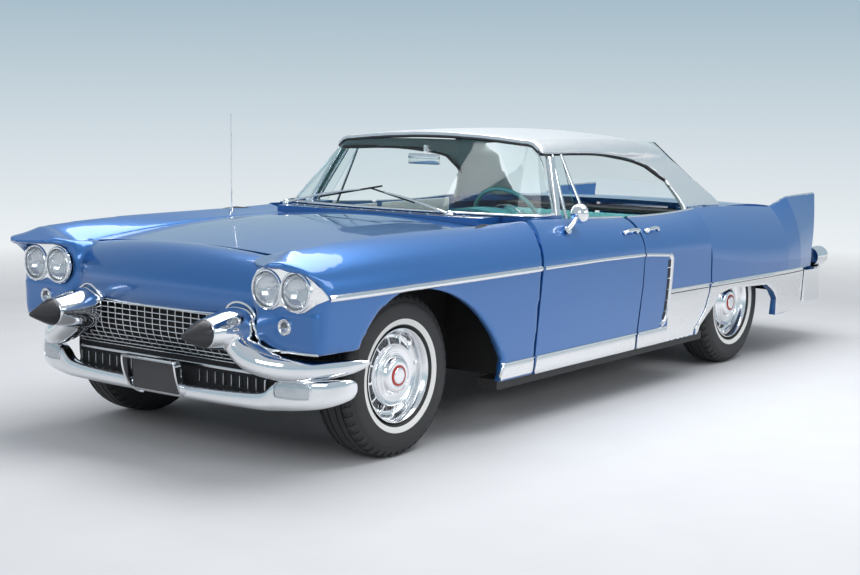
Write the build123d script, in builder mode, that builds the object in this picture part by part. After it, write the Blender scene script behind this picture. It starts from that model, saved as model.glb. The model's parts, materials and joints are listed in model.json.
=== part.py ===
from build123d import *
import math
import os

# A four-door hardtop car of the late 1950s. Front is -Y, the driver's side is +X, up is +Z.
# The origin is on the ground, midway along the car's length and width.

# Overall sizes
LENGTH = 5494.0
WIDTH = 1994.0
ROOF_Z = 1410.0
WHEELBASE = 3200.0
FRONT_OVERHANG = 935.0
TRACK = 1549.0

HALF_WIDTH = WIDTH / 2
FRONT_Y = -LENGTH / 2
REAR_Y = LENGTH / 2
FRONT_AXLE_Y = FRONT_Y + FRONT_OVERHANG
REAR_AXLE_Y = FRONT_AXLE_Y + WHEELBASE
WHEEL_X = TRACK / 2

# Heights of the body's main lines
ROCKER_BOTTOM_Z = 200.0
ROCKER_TOP_Z = 249.0
DOOR_BOTTOM_Z = 256.0
FENDER_LIP_Z = 535.0
BUMPER_LINE_Z = 500.0
CREST_Z = 985.0
BELT_Z = 950.0

# Gaps: between panels, between faces that rest on each other, and a running fit
GAP = 7.0
SEAT_GAP = 0.3
FIT = 0.05
OVERRUN = 60.0
DOOR_RELIEF = 0.14

# Wheels and tyres
TYRE_RADIUS = 365.0
TYRE_WIDTH = 213.0
RIM_RADIUS = 209.0
RIM_WALL = 12.0
RIM_WIDTH = 165.0
TREAD_WIDTH = 150.0
HUB_RADIUS = 48.0
SPINDLE_RADIUS = 22.0
SPINDLE_LENGTH = 44.0
DISC_THICKNESS = 8.0
DISC_OUTSET = 28.0
DISH_RADIUS = 137.0
DISH_HEIGHT = 30.0
CAP_RADIUS = 83.0
CAP_HEIGHT = 26.0
WINDOW_COUNT = 12
WINDOW_OUTER_RADIUS = 160.0
WINDOW_INNER_RADIUS = 140.0

# Body walls
FENDER_WALL = 40.0
DOOR_INNER_X = 852.0
HOOD_WALL = 26.0
ROOF_WALL = 28.0
GLASS = 6.0

# Panel ends along the car
FENDER_FRONT_OFFSET = 317.0
FENDER_FRONT_Y = FRONT_Y + FENDER_FRONT_OFFSET
HOOD_FRONT_OFFSET = 507.0
HOOD_FRONT_Y = FRONT_Y + HOOD_FRONT_OFFSET
COWL_FRONT_OFFSET = 850.0
COWL_FRONT_Y = FRONT_AXLE_Y + COWL_FRONT_OFFSET
GAP1_OFFSET = 938.0
GAP1_Y = FRONT_AXLE_Y + GAP1_OFFSET
GAP2_OFFSET = 964.0
GAP2_Y = GAP1_Y + GAP2_OFFSET
GAP3_OFFSET = 518.0
GAP3_Y = REAR_AXLE_Y - GAP3_OFFSET
FIN_START_OFFSET = 533.0
FIN_START_Y = REAR_AXLE_Y + FIN_START_OFFSET
FIN_END_OFFSET = 147.0
FIN_END_Y = REAR_Y - FIN_END_OFFSET
DECK_FRONT_OFFSET = 30.0
DECK_FRONT_Y = REAR_AXLE_Y + DECK_FRONT_OFFSET
LID_FRONT_OFFSET = 182.0
LID_FRONT_Y = REAR_AXLE_Y + LID_FRONT_OFFSET
LID_REAR_OFFSET = 200.0
LID_REAR_Y = REAR_Y - LID_REAR_OFFSET
BUMPER_SIDE_OFFSET = 812.0
BUMPER_SIDE_Y = REAR_AXLE_Y + BUMPER_SIDE_OFFSET

# The hood and lid fill the space between the fenders' inner edges
FENDER_INNER_X = 670.0
QUARTER_INNER_X = 760.0

# Gap lines seen from the side. Columns: height share of CREST_Z, shift along the car
GAP_LEAN = 30.0
GAP1_SHARES = ((0.15, -1.0), (0.32, -0.8), (0.78, 0.2), (0.9, 0.6), (1.1, 3.9))
GAP2_SHARES = ((0.15, -1.3), (0.32, -0.5), (0.6, 0.6), (0.8, 0.6), (1.1, 0.0))
GAP3_SHARES = (
    (0.15, -5.0), (0.29, -4.7), (0.4, -0.9), (0.55, 0.8), (0.75, 0.0), (0.95, 0.0), (1.1, -1.0)
)


def gap_points(gap_y, shares):
    """Points of one panel gap, as (along, height)."""
    return [(gap_y + shift * GAP_LEAN, height * CREST_Z) for height, shift in shares]


GAP1 = gap_points(GAP1_Y, GAP1_SHARES)
GAP2 = gap_points(GAP2_Y, GAP2_SHARES)
GAP3 = gap_points(GAP3_Y, GAP3_SHARES)


def beyond(line, way, relief=0.0):
    """A block of everything ahead of (-1) or behind (+1) a gap line on the left side.

    relief widens the gap towards the car's middle, so that a thick door swings past its neighbour.
    """
    far_y = way * LENGTH
    sections = []
    for x, widen in ((0.0, relief * HALF_WIDTH), (HALF_WIDTH, 0.0)):
        edge = [(y - way * (GAP / 2 + widen), z) for y, z in line]
        with BuildSketch(Plane.YZ.offset(x)) as section:
            Polygon(*edge, (far_y, edge[-1][1]), (far_y, edge[0][1]), align=None)
        sections.append(section.sketch)
    with BuildPart() as block:
        loft(sections=sections, ruled=True)
    return block.part


# Body sides. Each row is one cross-section of the left side, as shares: its place along the
# panel, then across (of HALF_WIDTH) and up (of CREST_Z) for the lower edge, hip and crest. Above the
# hip the skin is one arc that starts upright.
# Columns: along, low_x, hip_x, hip_z, crest_x, crest_z
FENDER_SHARES = (
    (0.00, 0.938, 0.958, 0.782, 0.802, 0.978),
    (0.28, 0.968, 0.984, 0.782, 0.802, 1.000),
    (0.66, 0.972, 0.994, 0.782, 0.812, 1.000),
    (1.00, 0.972, 0.996, 0.782, 0.866, 1.008),
)
DOOR_SHARES = (
    (0.00, 0.970, 0.996, 0.782, 0.868, 1.008),
    (0.35, 0.971, 0.998, 0.782, 0.868, 0.985),
    (0.65, 0.971, 0.998, 0.772, 0.868, 0.964),
    (1.00, 0.970, 0.997, 0.750, 0.866, 0.980),
)
# The quarter panel's crest becomes the fin. Extra columns: deck_x, deck_z
QUARTER_SHARES = (
    (0.00, 0.970, 0.997, 0.740, 0.864, 0.980, 0.840, 0.978),
    (0.50, 0.978, 0.998, 0.640, 0.853, 0.966, 0.833, 0.962),
    (1.00, 0.972, 0.993, 0.600, 0.852, 0.929, 0.833, 0.922),
)
FIN_SHARES = (
    (0.00, 0.972, 0.993, 0.600, 0.852, 0.929, 0.833, 0.922),
    (0.31, 0.960, 0.980, 0.590, 0.863, 0.981, 0.820, 0.903),
    (1.00, 0.894, 0.914, 0.580, 0.853, 0.983, 0.800, 0.860),
)
FIN_TIP = 18.0


def side_points(shares):
    """The lower edge, hip and crest of one cross-section."""
    low_x, hip_x, hip_z, crest_x, crest_z = shares[1:6]
    low = (low_x * HALF_WIDTH, DOOR_BOTTOM_Z)
    hip = (hip_x * HALF_WIDTH, hip_z * CREST_Z)
    crest = (crest_x * HALF_WIDTH, crest_z * CREST_Z)
    return low, hip, crest


def inset(point, across, down):
    """A point of the outer skin moved in by the wall."""
    return (point[0] - across, point[1] - down)


def fender_section(y, shares):
    """Closed cross-section of the fender's wall at one place along the car."""
    low, hip, crest = side_points(shares)
    edge = (FENDER_INNER_X, crest[1] - FENDER_WALL)
    inner_hip = inset(hip, FENDER_WALL, 0)
    inner_crest = inset(crest, 0, FENDER_WALL)
    with BuildSketch(Plane.XZ.offset(-y)) as section:
        with BuildLine():
            Line(low, hip)
            TangentArc(hip, crest, tangent=(0, 1))
            Line(crest, edge)
            Line(edge, inset(edge, 0, FENDER_WALL))
            Line(inset(edge, 0, FENDER_WALL), inner_crest)
            TangentArc(inner_hip, inner_crest, tangent=(0, 1))
            Line(inner_hip, inset(low, FENDER_WALL, 0))
            Line(inset(low, FENDER_WALL, 0), low)
        make_face()
    return section.sketch


def door_section(y, shares):
    """Closed cross-section of a door: curved outer skin, flat inner face."""
    low, hip, crest = side_points(shares)
    with BuildSketch(Plane.XZ.offset(-y)) as section:
        with BuildLine():
            Line(low, hip)
            TangentArc(hip, crest, tangent=(0, 1))
            Line(crest, (DOOR_INNER_X, crest[1]))
            Line((DOOR_INNER_X, crest[1]), (DOOR_INNER_X, DOOR_BOTTOM_Z))
            Line((DOOR_INNER_X, DOOR_BOTTOM_Z), low)
        make_face()
    return section.sketch


def quarter_section(y, shares, solid=False):
    """Closed cross-section of the quarter panel's wall, with its fin and the deck's edge."""
    low, hip, crest = side_points(shares)
    deck = (shares[6] * HALF_WIDTH, shares[7] * CREST_Z)
    edge = (QUARTER_INNER_X, deck[1])
    under = inset(deck, 0, FENDER_WALL)
    with BuildSketch(Plane.XZ.offset(-y)) as section:
        with BuildLine():
            Line(low, hip)
            TangentArc(hip, crest, tangent=(0, 1))
            Line(crest, inset(crest, FIN_TIP, 0))
            Line(inset(crest, FIN_TIP, 0), deck)
            Line(deck, edge)
            if solid:
                Line(edge, (QUARTER_INNER_X, DOOR_BOTTOM_Z))
                Line((QUARTER_INNER_X, DOOR_BOTTOM_Z), low)
            else:
                Line(edge, inset(edge, 0, FENDER_WALL))
                Line(inset(edge, 0, FENDER_WALL), under)
                Line(under, inset(hip, FENDER_WALL, 0))
                Line(inset(hip, FENDER_WALL, 0), inset(low, FENDER_WALL, 0))
                Line(inset(low, FENDER_WALL, 0), low)
        make_face()
    return section.sketch


def along(start_y, end_y, share):
    """A place between two stations."""
    return start_y + (end_y - start_y) * share


# Wheel openings seen from the side. Columns: along (of TYRE_RADIUS from the axle), up (of TYRE_RADIUS)
FRONT_ARCH_SHARES = (
    (-1.04, 1.466), (-0.734, 1.866), (-0.05, 2.074), (1.074, 1.73), (1.77, 1.00), (1.712, 0.60)
)
REAR_ARCH_SHARES = (
    (-1.75, 0.60),
    (-1.64, 0.82),
    (-1.18, 1.14),
    (-1.05, 1.27),
    (-0.67, 1.33),
    (0.655, 1.265),
    (0.937, 1.126),
    (1.107, 0.97),
    (1.08, 0.60),
)


def arch_points(axle_y, shares):
    """Corner points of a wheel opening, as (along, height)."""
    return [(axle_y + y * TYRE_RADIUS, z * TYRE_RADIUS) for y, z in shares]


with BuildPart() as front_arch:
    entry, nose, crown, sweep_mid, foot, toe = arch_points(FRONT_AXLE_Y, FRONT_ARCH_SHARES)
    with BuildSketch(Plane.YZ):
        with BuildLine():
            ThreePointArc(entry, nose, crown)
            ThreePointArc(crown, sweep_mid, foot)
            Line(foot, toe)
            Line(toe, (toe[0], 0))
            Line((toe[0], 0), (FRONT_Y, 0))
            Line((FRONT_Y, 0), (FRONT_Y, FENDER_LIP_Z))
            Line((FRONT_Y, FENDER_LIP_Z), entry)
        make_face()
    extrude(amount=WIDTH, both=True)

with BuildPart() as rear_arch:
    with BuildSketch(Plane.YZ):
        corners = arch_points(REAR_AXLE_Y, REAR_ARCH_SHARES)
        Polygon(*corners, (corners[-1][0], 0), (corners[0][0], 0), align=None)
    extrude(amount=WIDTH, both=True)

# Headlamps: two on each side under the fender's visor
LAMP_RADIUS = 73.0
LAMP_Z = 791.0
LAMP_INNER_X = 667.0
LAMP_OUTER_X = 827.0
LAMP_POCKET = 90.0
NOSE_WALL_X = 590.0
VISOR_REACH = 180.0
VISOR_THICK = 30.0
# The visor's front edge seen from above. Columns: across (of HALF_WIDTH), behind FRONT_Y (of
# FENDER_FRONT_OFFSET)
VISOR_EDGE_SHARES = (
    (0.590, 0.98),
    (0.645, 0.77),
    (0.710, 0.59),
    (0.792, 0.44),
    (0.870, 0.62),
    (0.928, 0.90),
    (0.962, 1.17),
    (0.990, 1.44),
    (1.010, 1.60),
)

FENDER_END_Y = GAP1[-1][0] + OVERRUN


def visor_section(y, shares, thickness):
    """A thin curved strip that follows the fender's shoulder over the headlamps."""
    low, hip, crest = side_points(shares)
    edge = (NOSE_WALL_X, crest[1] - FENDER_WALL)
    inner_hip = inset(hip, thickness, 0)
    inner_crest = inset(crest, 0, thickness)
    with BuildSketch(Plane.XZ.offset(-y)) as section:
        with BuildLine():
            TangentArc(hip, crest, tangent=(0, 1))
            Line(crest, edge)
            Line(edge, inset(edge, 0, thickness))
            Line(inset(edge, 0, thickness), inner_crest)
            TangentArc(inner_hip, inner_crest, tangent=(0, 1))
            Line(inner_hip, hip)
        make_face()
    return section.sketch


def shelf_section(y, shares):
    """Section of the narrow shelf between the nose panel and the fender, ahead of the hood."""
    top = side_points(shares)[2][1] - FENDER_WALL
    with BuildSketch(Plane.XZ.offset(-y)) as section:
        Polygon(
            (NOSE_WALL_X, top),
            (FENDER_INNER_X + GAP, top),
            (FENDER_INNER_X + GAP, top - FENDER_WALL),
            (NOSE_WALL_X, top - FENDER_WALL),
            align=None,
        )
    return section.sketch


VISOR_TIP_SHARES = (0.0, 0.920, 0.925, 0.855, 0.790, 0.915)
SHELF_END_SHARES = (0.0, 0.938, 0.968, 0.782, 0.802, 0.986)

with BuildPart() as visor_edge:
    with BuildSketch():
        edge_points = [(x * HALF_WIDTH, FRONT_Y + y * FENDER_FRONT_OFFSET) for x, y in VISOR_EDGE_SHARES]
        Polygon(
            *edge_points,
            (WIDTH, edge_points[-1][1]),
            (WIDTH, FRONT_Y - OVERRUN),
            (0, FRONT_Y - OVERRUN),
            (0, edge_points[0][1]),
            align=None,
        )
    extrude(amount=CREST_Z + OVERRUN)

with BuildPart() as fender_left:
    rows = [(along(FENDER_FRONT_Y, FENDER_END_Y, row[0]), row) for row in FENDER_SHARES]
    loft(sections=[fender_section(y, row) for y, row in rows])
    loft(sections=[
        visor_section(FENDER_FRONT_Y - VISOR_REACH, VISOR_TIP_SHARES, VISOR_THICK),
        visor_section(FENDER_FRONT_Y, FENDER_SHARES[0], FENDER_WALL),
    ])
    loft(sections=[
        shelf_section(FENDER_FRONT_Y, FENDER_SHARES[0]),
        shelf_section(HOOD_FRONT_Y, SHELF_END_SHARES),
    ])
    # The wall under the headlamps closes the fender's front
    with BuildSketch(Plane.XZ.offset(-FENDER_FRONT_Y)):
        low, hip, crest = side_points(FENDER_SHARES[0])
        with BuildLine():
            Line((low[0], FENDER_LIP_Z), hip)
            TangentArc(hip, crest, tangent=(0, 1))
            Line(crest, (NOSE_WALL_X, crest[1] - FENDER_WALL))
            Line((NOSE_WALL_X, crest[1] - FENDER_WALL), (NOSE_WALL_X, FENDER_LIP_Z))
            Line((NOSE_WALL_X, FENDER_LIP_Z), (low[0], FENDER_LIP_Z))
        make_face()
    extrude(amount=-FENDER_WALL)
    with BuildSketch(Plane.XZ.offset(-FENDER_FRONT_Y)):
        with Locations((LAMP_INNER_X, LAMP_Z), (LAMP_OUTER_X, LAMP_Z)):
            Circle(LAMP_RADIUS + GAP / 2)
    extrude(amount=LAMP_POCKET, both=True, mode=Mode.SUBTRACT)
    add(visor_edge.part, mode=Mode.SUBTRACT)
    add(front_arch.part, mode=Mode.SUBTRACT)
    add(beyond(GAP1, 1), mode=Mode.SUBTRACT)

DOORS_START_Y = GAP1_Y - OVERRUN
DOORS_END_Y = GAP3_Y + OVERRUN
with BuildPart() as door_front_left:
    rows = [(along(DOORS_START_Y, DOORS_END_Y, row[0]), row) for row in DOOR_SHARES]
    loft(sections=[door_section(y, row) for y, row in rows])
    add(beyond(GAP1, -1), mode=Mode.SUBTRACT)
    add(beyond(GAP2, 1, DOOR_RELIEF), mode=Mode.SUBTRACT)

with BuildPart() as door_rear_left:
    loft(sections=[door_section(y, row) for y, row in rows])
    add(beyond(GAP2, -1, DOOR_RELIEF), mode=Mode.SUBTRACT)
    add(beyond(GAP3, 1), mode=Mode.SUBTRACT)

QUARTER_START_Y = GAP3[0][0] - OVERRUN
FIN_SLOPE_SHARE = 0.64
FIN_FOOT_Z = 619.0
FIN_FOOT_Y = FIN_END_Y - (CREST_Z - FIN_FOOT_Z) * FIN_SLOPE_SHARE
QUARTER_FOOT_Z = BUMPER_LINE_Z + GAP + GAP


def fin_edge(shift):
    """The quarter panel's rear edge seen from the side: it leans forward as it goes down."""
    return [
        (FIN_END_Y + OVERRUN * FIN_SLOPE_SHARE + shift, CREST_Z + OVERRUN),
        (FIN_FOOT_Y + shift, FIN_FOOT_Z),
        (FIN_FOOT_Y + shift, QUARTER_FOOT_Z),
    ]


with BuildPart() as quarter_panel_left:
    rows = [(along(QUARTER_START_Y, FIN_START_Y, row[0]), row) for row in QUARTER_SHARES]
    loft(sections=[quarter_section(y, row) for y, row in rows])
    fin_rows = [(along(FIN_START_Y, FIN_END_Y, row[0]), row) for row in FIN_SHARES]
    loft(sections=[quarter_section(y, row) for y, row in fin_rows], ruled=True)
    add(rear_arch.part, mode=Mode.SUBTRACT)
    add(beyond(GAP3, -1), mode=Mode.SUBTRACT)
    # The bumper takes the lower rear corner
    with BuildSketch(Plane.YZ):
        Polygon(
            *fin_edge(0),
            (BUMPER_SIDE_Y, QUARTER_FOOT_Z),
            (BUMPER_SIDE_Y, 0),
            (REAR_Y + OVERRUN, 0),
            (REAR_Y + OVERRUN, CREST_Z + OVERRUN),
            align=None,
        )
    extrude(amount=WIDTH, both=True, mode=Mode.SUBTRACT)

with BuildPart() as fin_wall_left:
    loft(sections=[quarter_section(y, row, solid=True) for y, row in fin_rows], ruled=True)
    with BuildSketch(Plane.YZ):
        Polygon(*fin_edge(-FENDER_WALL), *reversed(fin_edge(0)), align=None)
    extrude(amount=WIDTH, both=True, mode=Mode.INTERSECT)

# Hood, nose panel, cowl, deck and trunk lid: strips lofted across the car with a small crown.
# A side-view strip has a start, a middle and an end point, each as (along, height).
HOOD_HALF = FENDER_INNER_X - GAP
LID_HALF = QUARTER_INNER_X - GAP
HOOD_CROWN = 30.0
LID_CROWN = 12.0
NOSE_BOW = 60.0
GRILLE_TOP_Z = 650.0
GRILLE_OFFSET = 327.0
GRILLE_Y = FRONT_Y + GRILLE_OFFSET
NOSE_BULGE = 40.0
EDGE_RAKE_SHARE = 0.35


def strip_section(x, start, middle, end, wall):
    """One side-view strip of sheet, curved through three points, at a place across the car.

    Its ends lean in under the outer skin, so that a lid's lower edge swings clear.
    """
    rake = wall * EDGE_RAKE_SHARE
    inner_start = (start[0] + rake, start[1] - wall)
    inner_end = (end[0] - rake, end[1] - wall)
    with BuildSketch(Plane.YZ.offset(x)) as section:
        with BuildLine():
            ThreePointArc(start, middle, end)
            Line(end, inner_end)
            ThreePointArc(inner_end, inset(middle, 0, wall), inner_start)
            Line(inner_start, start)
        make_face()
    return section.sketch


def crowned(half, crown, start, middle, end, wall):
    """Three strips across the car, the outer two lower by the crown."""
    low = [inset(point, 0, crown) for point in (start, middle, end)]
    return [
        strip_section(-half, *low, wall),
        strip_section(0, start, middle, end, wall),
        strip_section(half, *low, wall),
    ]


HOOD_FRONT_Z = 925.0
HOOD_REAR_Z = CREST_Z
HOOD_MIDDLE_Z = 970.0
HINGE_WIDTH = 60.0
HINGE_REACH = 45.0
HINGE_THICK = 20.0
HINGE_SHARE = 0.5


def hinge_tongue(half, edge_y, under_z):
    """Two tongues that reach under a lid's edge from the panel beside it."""
    with BuildPart() as tongue:
        with BuildSketch(Plane.XY.offset(under_z - HINGE_THICK)):
            with Locations((half * HINGE_SHARE, edge_y), (-half * HINGE_SHARE, edge_y)):
                Rectangle(HINGE_WIDTH, 2 * HINGE_REACH)
        extrude(amount=HINGE_THICK)
    return tongue.part


with BuildPart() as hood:
    middle_y = along(HOOD_FRONT_Y, COWL_FRONT_Y, 0.45)
    loft(sections=crowned(
        HOOD_HALF,
        HOOD_CROWN,
        (HOOD_FRONT_Y + GAP, HOOD_FRONT_Z),
        (middle_y, HOOD_MIDDLE_Z),
        (COWL_FRONT_Y - GAP, HOOD_REAR_Z),
        HOOD_WALL,
    ))


def nose_section(x, bow, drop):
    """Side-view section of the nose panel, from the hood's cut down to the grille."""
    top = (HOOD_FRONT_Y, HOOD_FRONT_Z - drop)
    bulge = (GRILLE_Y - NOSE_BULGE + bow, (HOOD_FRONT_Z + GRILLE_TOP_Z) / 2 - drop)
    bottom = (GRILLE_Y + bow, GRILLE_TOP_Z)
    with BuildSketch(Plane.YZ.offset(x)) as section:
        with BuildLine():
            ThreePointArc(top, bulge, bottom)
            Line(bottom, (bottom[0] + HOOD_WALL, bottom[1]))
            ThreePointArc(
                (bottom[0] + HOOD_WALL, bottom[1]),
                (bulge[0] + HOOD_WALL, bulge[1]),
                (top[0], top[1] - HOOD_WALL),
            )
            Line((top[0], top[1] - HOOD_WALL), top)
        make_face()
    return section.sketch


NOSE_HALF = NOSE_WALL_X - GAP
with BuildPart() as nose_panel:
    loft(sections=[
        nose_section(-NOSE_HALF, NOSE_BOW, HOOD_CROWN),
        nose_section(0, 0, 0),
        nose_section(NOSE_HALF, NOSE_BOW, HOOD_CROWN),
    ])

COWL_Z = 996.0
COWL_WALL = 36.0
COWL_SIDE_X = DOOR_INNER_X - 1.5 * GAP
COWL_SIDE_INNER_X = 700.0
COWL_REAR_OFFSET = 200.0
COWL_REAR_Y = COWL_FRONT_Y + COWL_REAR_OFFSET
COWL_SIDE_END_OFFSET = 404.0
COWL_SIDE_END_Y = GAP1_Y + COWL_SIDE_END_OFFSET
COWL_SIDE_START_Y = GAP1[-1][0] + GAP
with BuildPart() as cowl_panel:
    with BuildSketch(Plane.XY.offset(COWL_Z - COWL_WALL)):
        with BuildLine():
            Polyline(
                (0, COWL_FRONT_Y),
                (HOOD_HALF, COWL_FRONT_Y),
                (HOOD_HALF, COWL_SIDE_START_Y),
                (COWL_SIDE_X, COWL_SIDE_START_Y),
                (COWL_SIDE_X, COWL_SIDE_END_Y),
                (COWL_SIDE_INNER_X, COWL_SIDE_END_Y),
                (COWL_SIDE_INNER_X, COWL_REAR_Y + OVERRUN),
                (0, COWL_REAR_Y),
                (0, COWL_FRONT_Y),
            )
        make_face()
        mirror(about=Plane.YZ)
    extrude(amount=COWL_WALL)
    under_z = HOOD_REAR_Z - HOOD_CROWN * HINGE_SHARE**2 - HOOD_WALL - SEAT_GAP
    add(hinge_tongue(HOOD_HALF, COWL_FRONT_Y, under_z))
    with BuildSketch(Plane.XY.offset(under_z - HINGE_THICK)):
        with Locations((HOOD_HALF * HINGE_SHARE, COWL_FRONT_Y), (-HOOD_HALF * HINGE_SHARE, COWL_FRONT_Y)):
            Rectangle(HINGE_WIDTH, HINGE_REACH, align=(Align.CENTER, Align.MIN))
    extrude(amount=COWL_Z - under_z)
    with Locations((0, 0, -SEAT_GAP)):
        add(hood.part, mode=Mode.SUBTRACT)

LID_MIDDLE_Z = 920.0
LID_REAR_Z = 840.0
with BuildPart() as trunk_lid:
    loft(sections=crowned(
        LID_HALF,
        LID_CROWN,
        (LID_FRONT_Y, BELT_Z),
        (along(LID_FRONT_Y, LID_REAR_Y, 0.55), LID_MIDDLE_Z),
        (LID_REAR_Y, LID_REAR_Z),
        HOOD_WALL,
    ))

REAR_PANEL_BOTTOM_Z = 507.0
with BuildPart() as rear_panel:
    with BuildSketch(Plane.YZ.offset(SEAT_GAP - QUARTER_INNER_X)):
        rear_top = LID_REAR_Z - LID_CROWN - HOOD_WALL - GAP
        Polygon(
            (LID_REAR_Y - HOOD_WALL, rear_top),
            (LID_REAR_Y, rear_top),
            (LID_REAR_Y + HOOD_WALL, REAR_PANEL_BOTTOM_Z),
            (LID_REAR_Y, REAR_PANEL_BOTTOM_Z),
            align=None,
        )
    extrude(amount=2 * (QUARTER_INNER_X - SEAT_GAP))

with BuildPart() as deck_panel:
    loft(sections=crowned(
        LID_HALF,
        LID_CROWN,
        (DECK_FRONT_Y, BELT_Z),
        (along(DECK_FRONT_Y, LID_FRONT_Y - GAP, 0.5), BELT_Z + SEAT_GAP),
        (LID_FRONT_Y - GAP, BELT_Z),
        HOOD_WALL,
    ))
    under_z = BELT_Z - LID_CROWN * HINGE_SHARE**2 - HOOD_WALL - SEAT_GAP
    add(hinge_tongue(LID_HALF, LID_FRONT_Y - GAP, under_z))
    with BuildSketch(Plane.XY.offset(under_z - HINGE_THICK)):
        root_y = LID_FRONT_Y - GAP
        with Locations((LID_HALF * HINGE_SHARE, root_y), (-LID_HALF * HINGE_SHARE, root_y)):
            Rectangle(HINGE_WIDTH, HINGE_REACH, align=(Align.CENTER, Align.MAX))
    extrude(amount=HINGE_THICK + HOOD_WALL / 2)
    with Locations((0, 0, -SEAT_GAP)):
        add(trunk_lid.part, mode=Mode.SUBTRACT)

# Roof: cross-sections of the shell. Columns: along (mm behind the front edge, as share of ROOF_LENGTH),
# half width (share of ROOF_HALF), side rail height and crown height (shares of ROOF_Z)
ROOF_FRONT_OFFSET = 434.0
ROOF_FRONT_Y = GAP1_Y + ROOF_FRONT_OFFSET
ROOF_LENGTH = 1318.0
ROOF_HALF = 700.0
ROOF_SHARES = (
    (0.00, 0.985, 0.922, 0.990),
    (0.35, 1.000, 0.912, 1.000),
    (0.60, 1.000, 0.902, 0.998),
    (0.80, 0.985, 0.895, 0.988),
    (1.00, 0.950, 0.886, 0.956),
)
# C-pillars: level sections. Columns: height (share of ROOF_Z), front edge and rear edge along
# (shares of PILLAR_SPAN behind its start), outer x at the front and rear (shares of PILLAR_HALF)
PILLAR_START_OFFSET = 612.0
PILLAR_START_Y = GAP1_Y + PILLAR_START_OFFSET
PILLAR_HALF = 690.0
PILLAR_SPAN = 1657.0
PILLAR_WALL = 34.0
PILLAR_SHARES = (
    (0.6650, 0.665, 1.010, 1.215, 1.110),
    (0.6835, 0.663, 1.000, 1.205, 1.105),
    (0.738, 0.647, 0.937, 1.145, 1.065),
    (0.804, 0.603, 0.861, 1.080, 1.000),
    (0.859, 0.519, 0.807, 1.022, 0.935),
    (0.902, 0.351, 0.731, 0.998, 0.930),
    (0.930, 0.300, 0.700, 0.990, 0.925),
)


def roof_section(y, half, rail_z, crown_z):
    """Closed cross-section of the roof's shell: two side arcs and a top arc, out and back."""
    rise = crown_z - rail_z
    side = (half * 0.965, rail_z + rise * 0.40)
    corner = (half * 0.84, rail_z + rise * 0.68)
    rail = (half, rail_z)
    inner_rail = (half - ROOF_WALL, rail_z)
    inner_side = inset(side, ROOF_WALL, ROOF_WALL * 0.4)
    inner_corner = inset(corner, ROOF_WALL * 0.5, ROOF_WALL)

    def flip(point):
        return (-point[0], point[1])

    with BuildSketch(Plane.XZ.offset(-y)) as section:
        with BuildLine():
            ThreePointArc(rail, side, corner)
            ThreePointArc(corner, (0, crown_z), flip(corner))
            ThreePointArc(flip(corner), flip(side), flip(rail))
            Line(flip(rail), flip(inner_rail))
            ThreePointArc(flip(inner_rail), flip(inner_side), flip(inner_corner))
            ThreePointArc(flip(inner_corner), (0, crown_z - ROOF_WALL), inner_corner)
            ThreePointArc(inner_corner, inner_side, inner_rail)
            Line(inner_rail, rail)
        make_face()
    return section.sketch


def pillar_section(z, front_y, rear_y, front_x, rear_x):
    """Level section of a C-pillar's blade."""
    with BuildSketch(Plane.XY.offset(z)) as section:
        Polygon(
            (front_x, front_y),
            (rear_x, rear_y),
            (rear_x - PILLAR_WALL, rear_y),
            (front_x - PILLAR_WALL, front_y),
            align=None,
        )
    return section.sketch


with BuildPart() as pillar:
    loft(sections=[
        pillar_section(
            z * ROOF_Z,
            PILLAR_START_Y + front * PILLAR_SPAN,
            PILLAR_START_Y + rear * PILLAR_SPAN,
            front_x * PILLAR_HALF,
            rear_x * PILLAR_HALF,
        )
        for z, front, rear, front_x, rear_x in PILLAR_SHARES
    ])

with BuildPart() as seated_pillar:
    add(pillar.part)
    with Locations((0, 0, 0), (0, 0, SEAT_GAP)):
        add(quarter_panel_left.part, mode=Mode.SUBTRACT)

with BuildPart() as roof:
    loft(sections=[
        roof_section(ROOF_FRONT_Y + y * ROOF_LENGTH, w * ROOF_HALF, rail * ROOF_Z, top * ROOF_Z)
        for y, w, rail, top in ROOF_SHARES
    ])
    add(seated_pillar.part)
    mirror(seated_pillar.part, about=Plane.YZ)

# Glass: the windscreen wraps round to the A-pillars, the rear window round to the C-pillars.
# Plan points of one edge, as (across, along): the end at the pillar, the corner, the bow's end, the middle
SCREEN_END_X = 838.0
SCREEN_BASE_OFFSET = 150.0
SCREEN_BASE_Y = COWL_FRONT_Y + SCREEN_BASE_OFFSET
SCREEN_BASE_SHARES = ((1.0, 0.478), (0.975, 0.24), (0.89, 0.12), (0.0, 0.0))
SCREEN_TOP_SHARES = ((0.730, 0.789), (0.7255, 0.7545), (0.686, 0.742), (0.0, 0.731))
SCREEN_RUN = 558.0
SCREEN_TOP_Z = 1400.0
HEADER_SIDE_SHARE = 0.9
HEADER_RISE_SHARE = 0.955
REAR_GLASS_END_X = 745.0
REAR_GLASS_BASE_OFFSET = 170.0
REAR_GLASS_BASE_Y = REAR_AXLE_Y + REAR_GLASS_BASE_OFFSET
REAR_GLASS_RUN = 680.0
REAR_GLASS_BASE_SHARES = ((1.0, 0.20), (0.96, 0.12), (0.90, 0.08), (0.0, 0.0))
REAR_GLASS_TOP_SHARES = ((0.77, 0.93), (0.74, 0.90), (0.70, 0.89), (0.0, 0.97))
REAR_GLASS_TOP_Z = 1330.0


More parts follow.
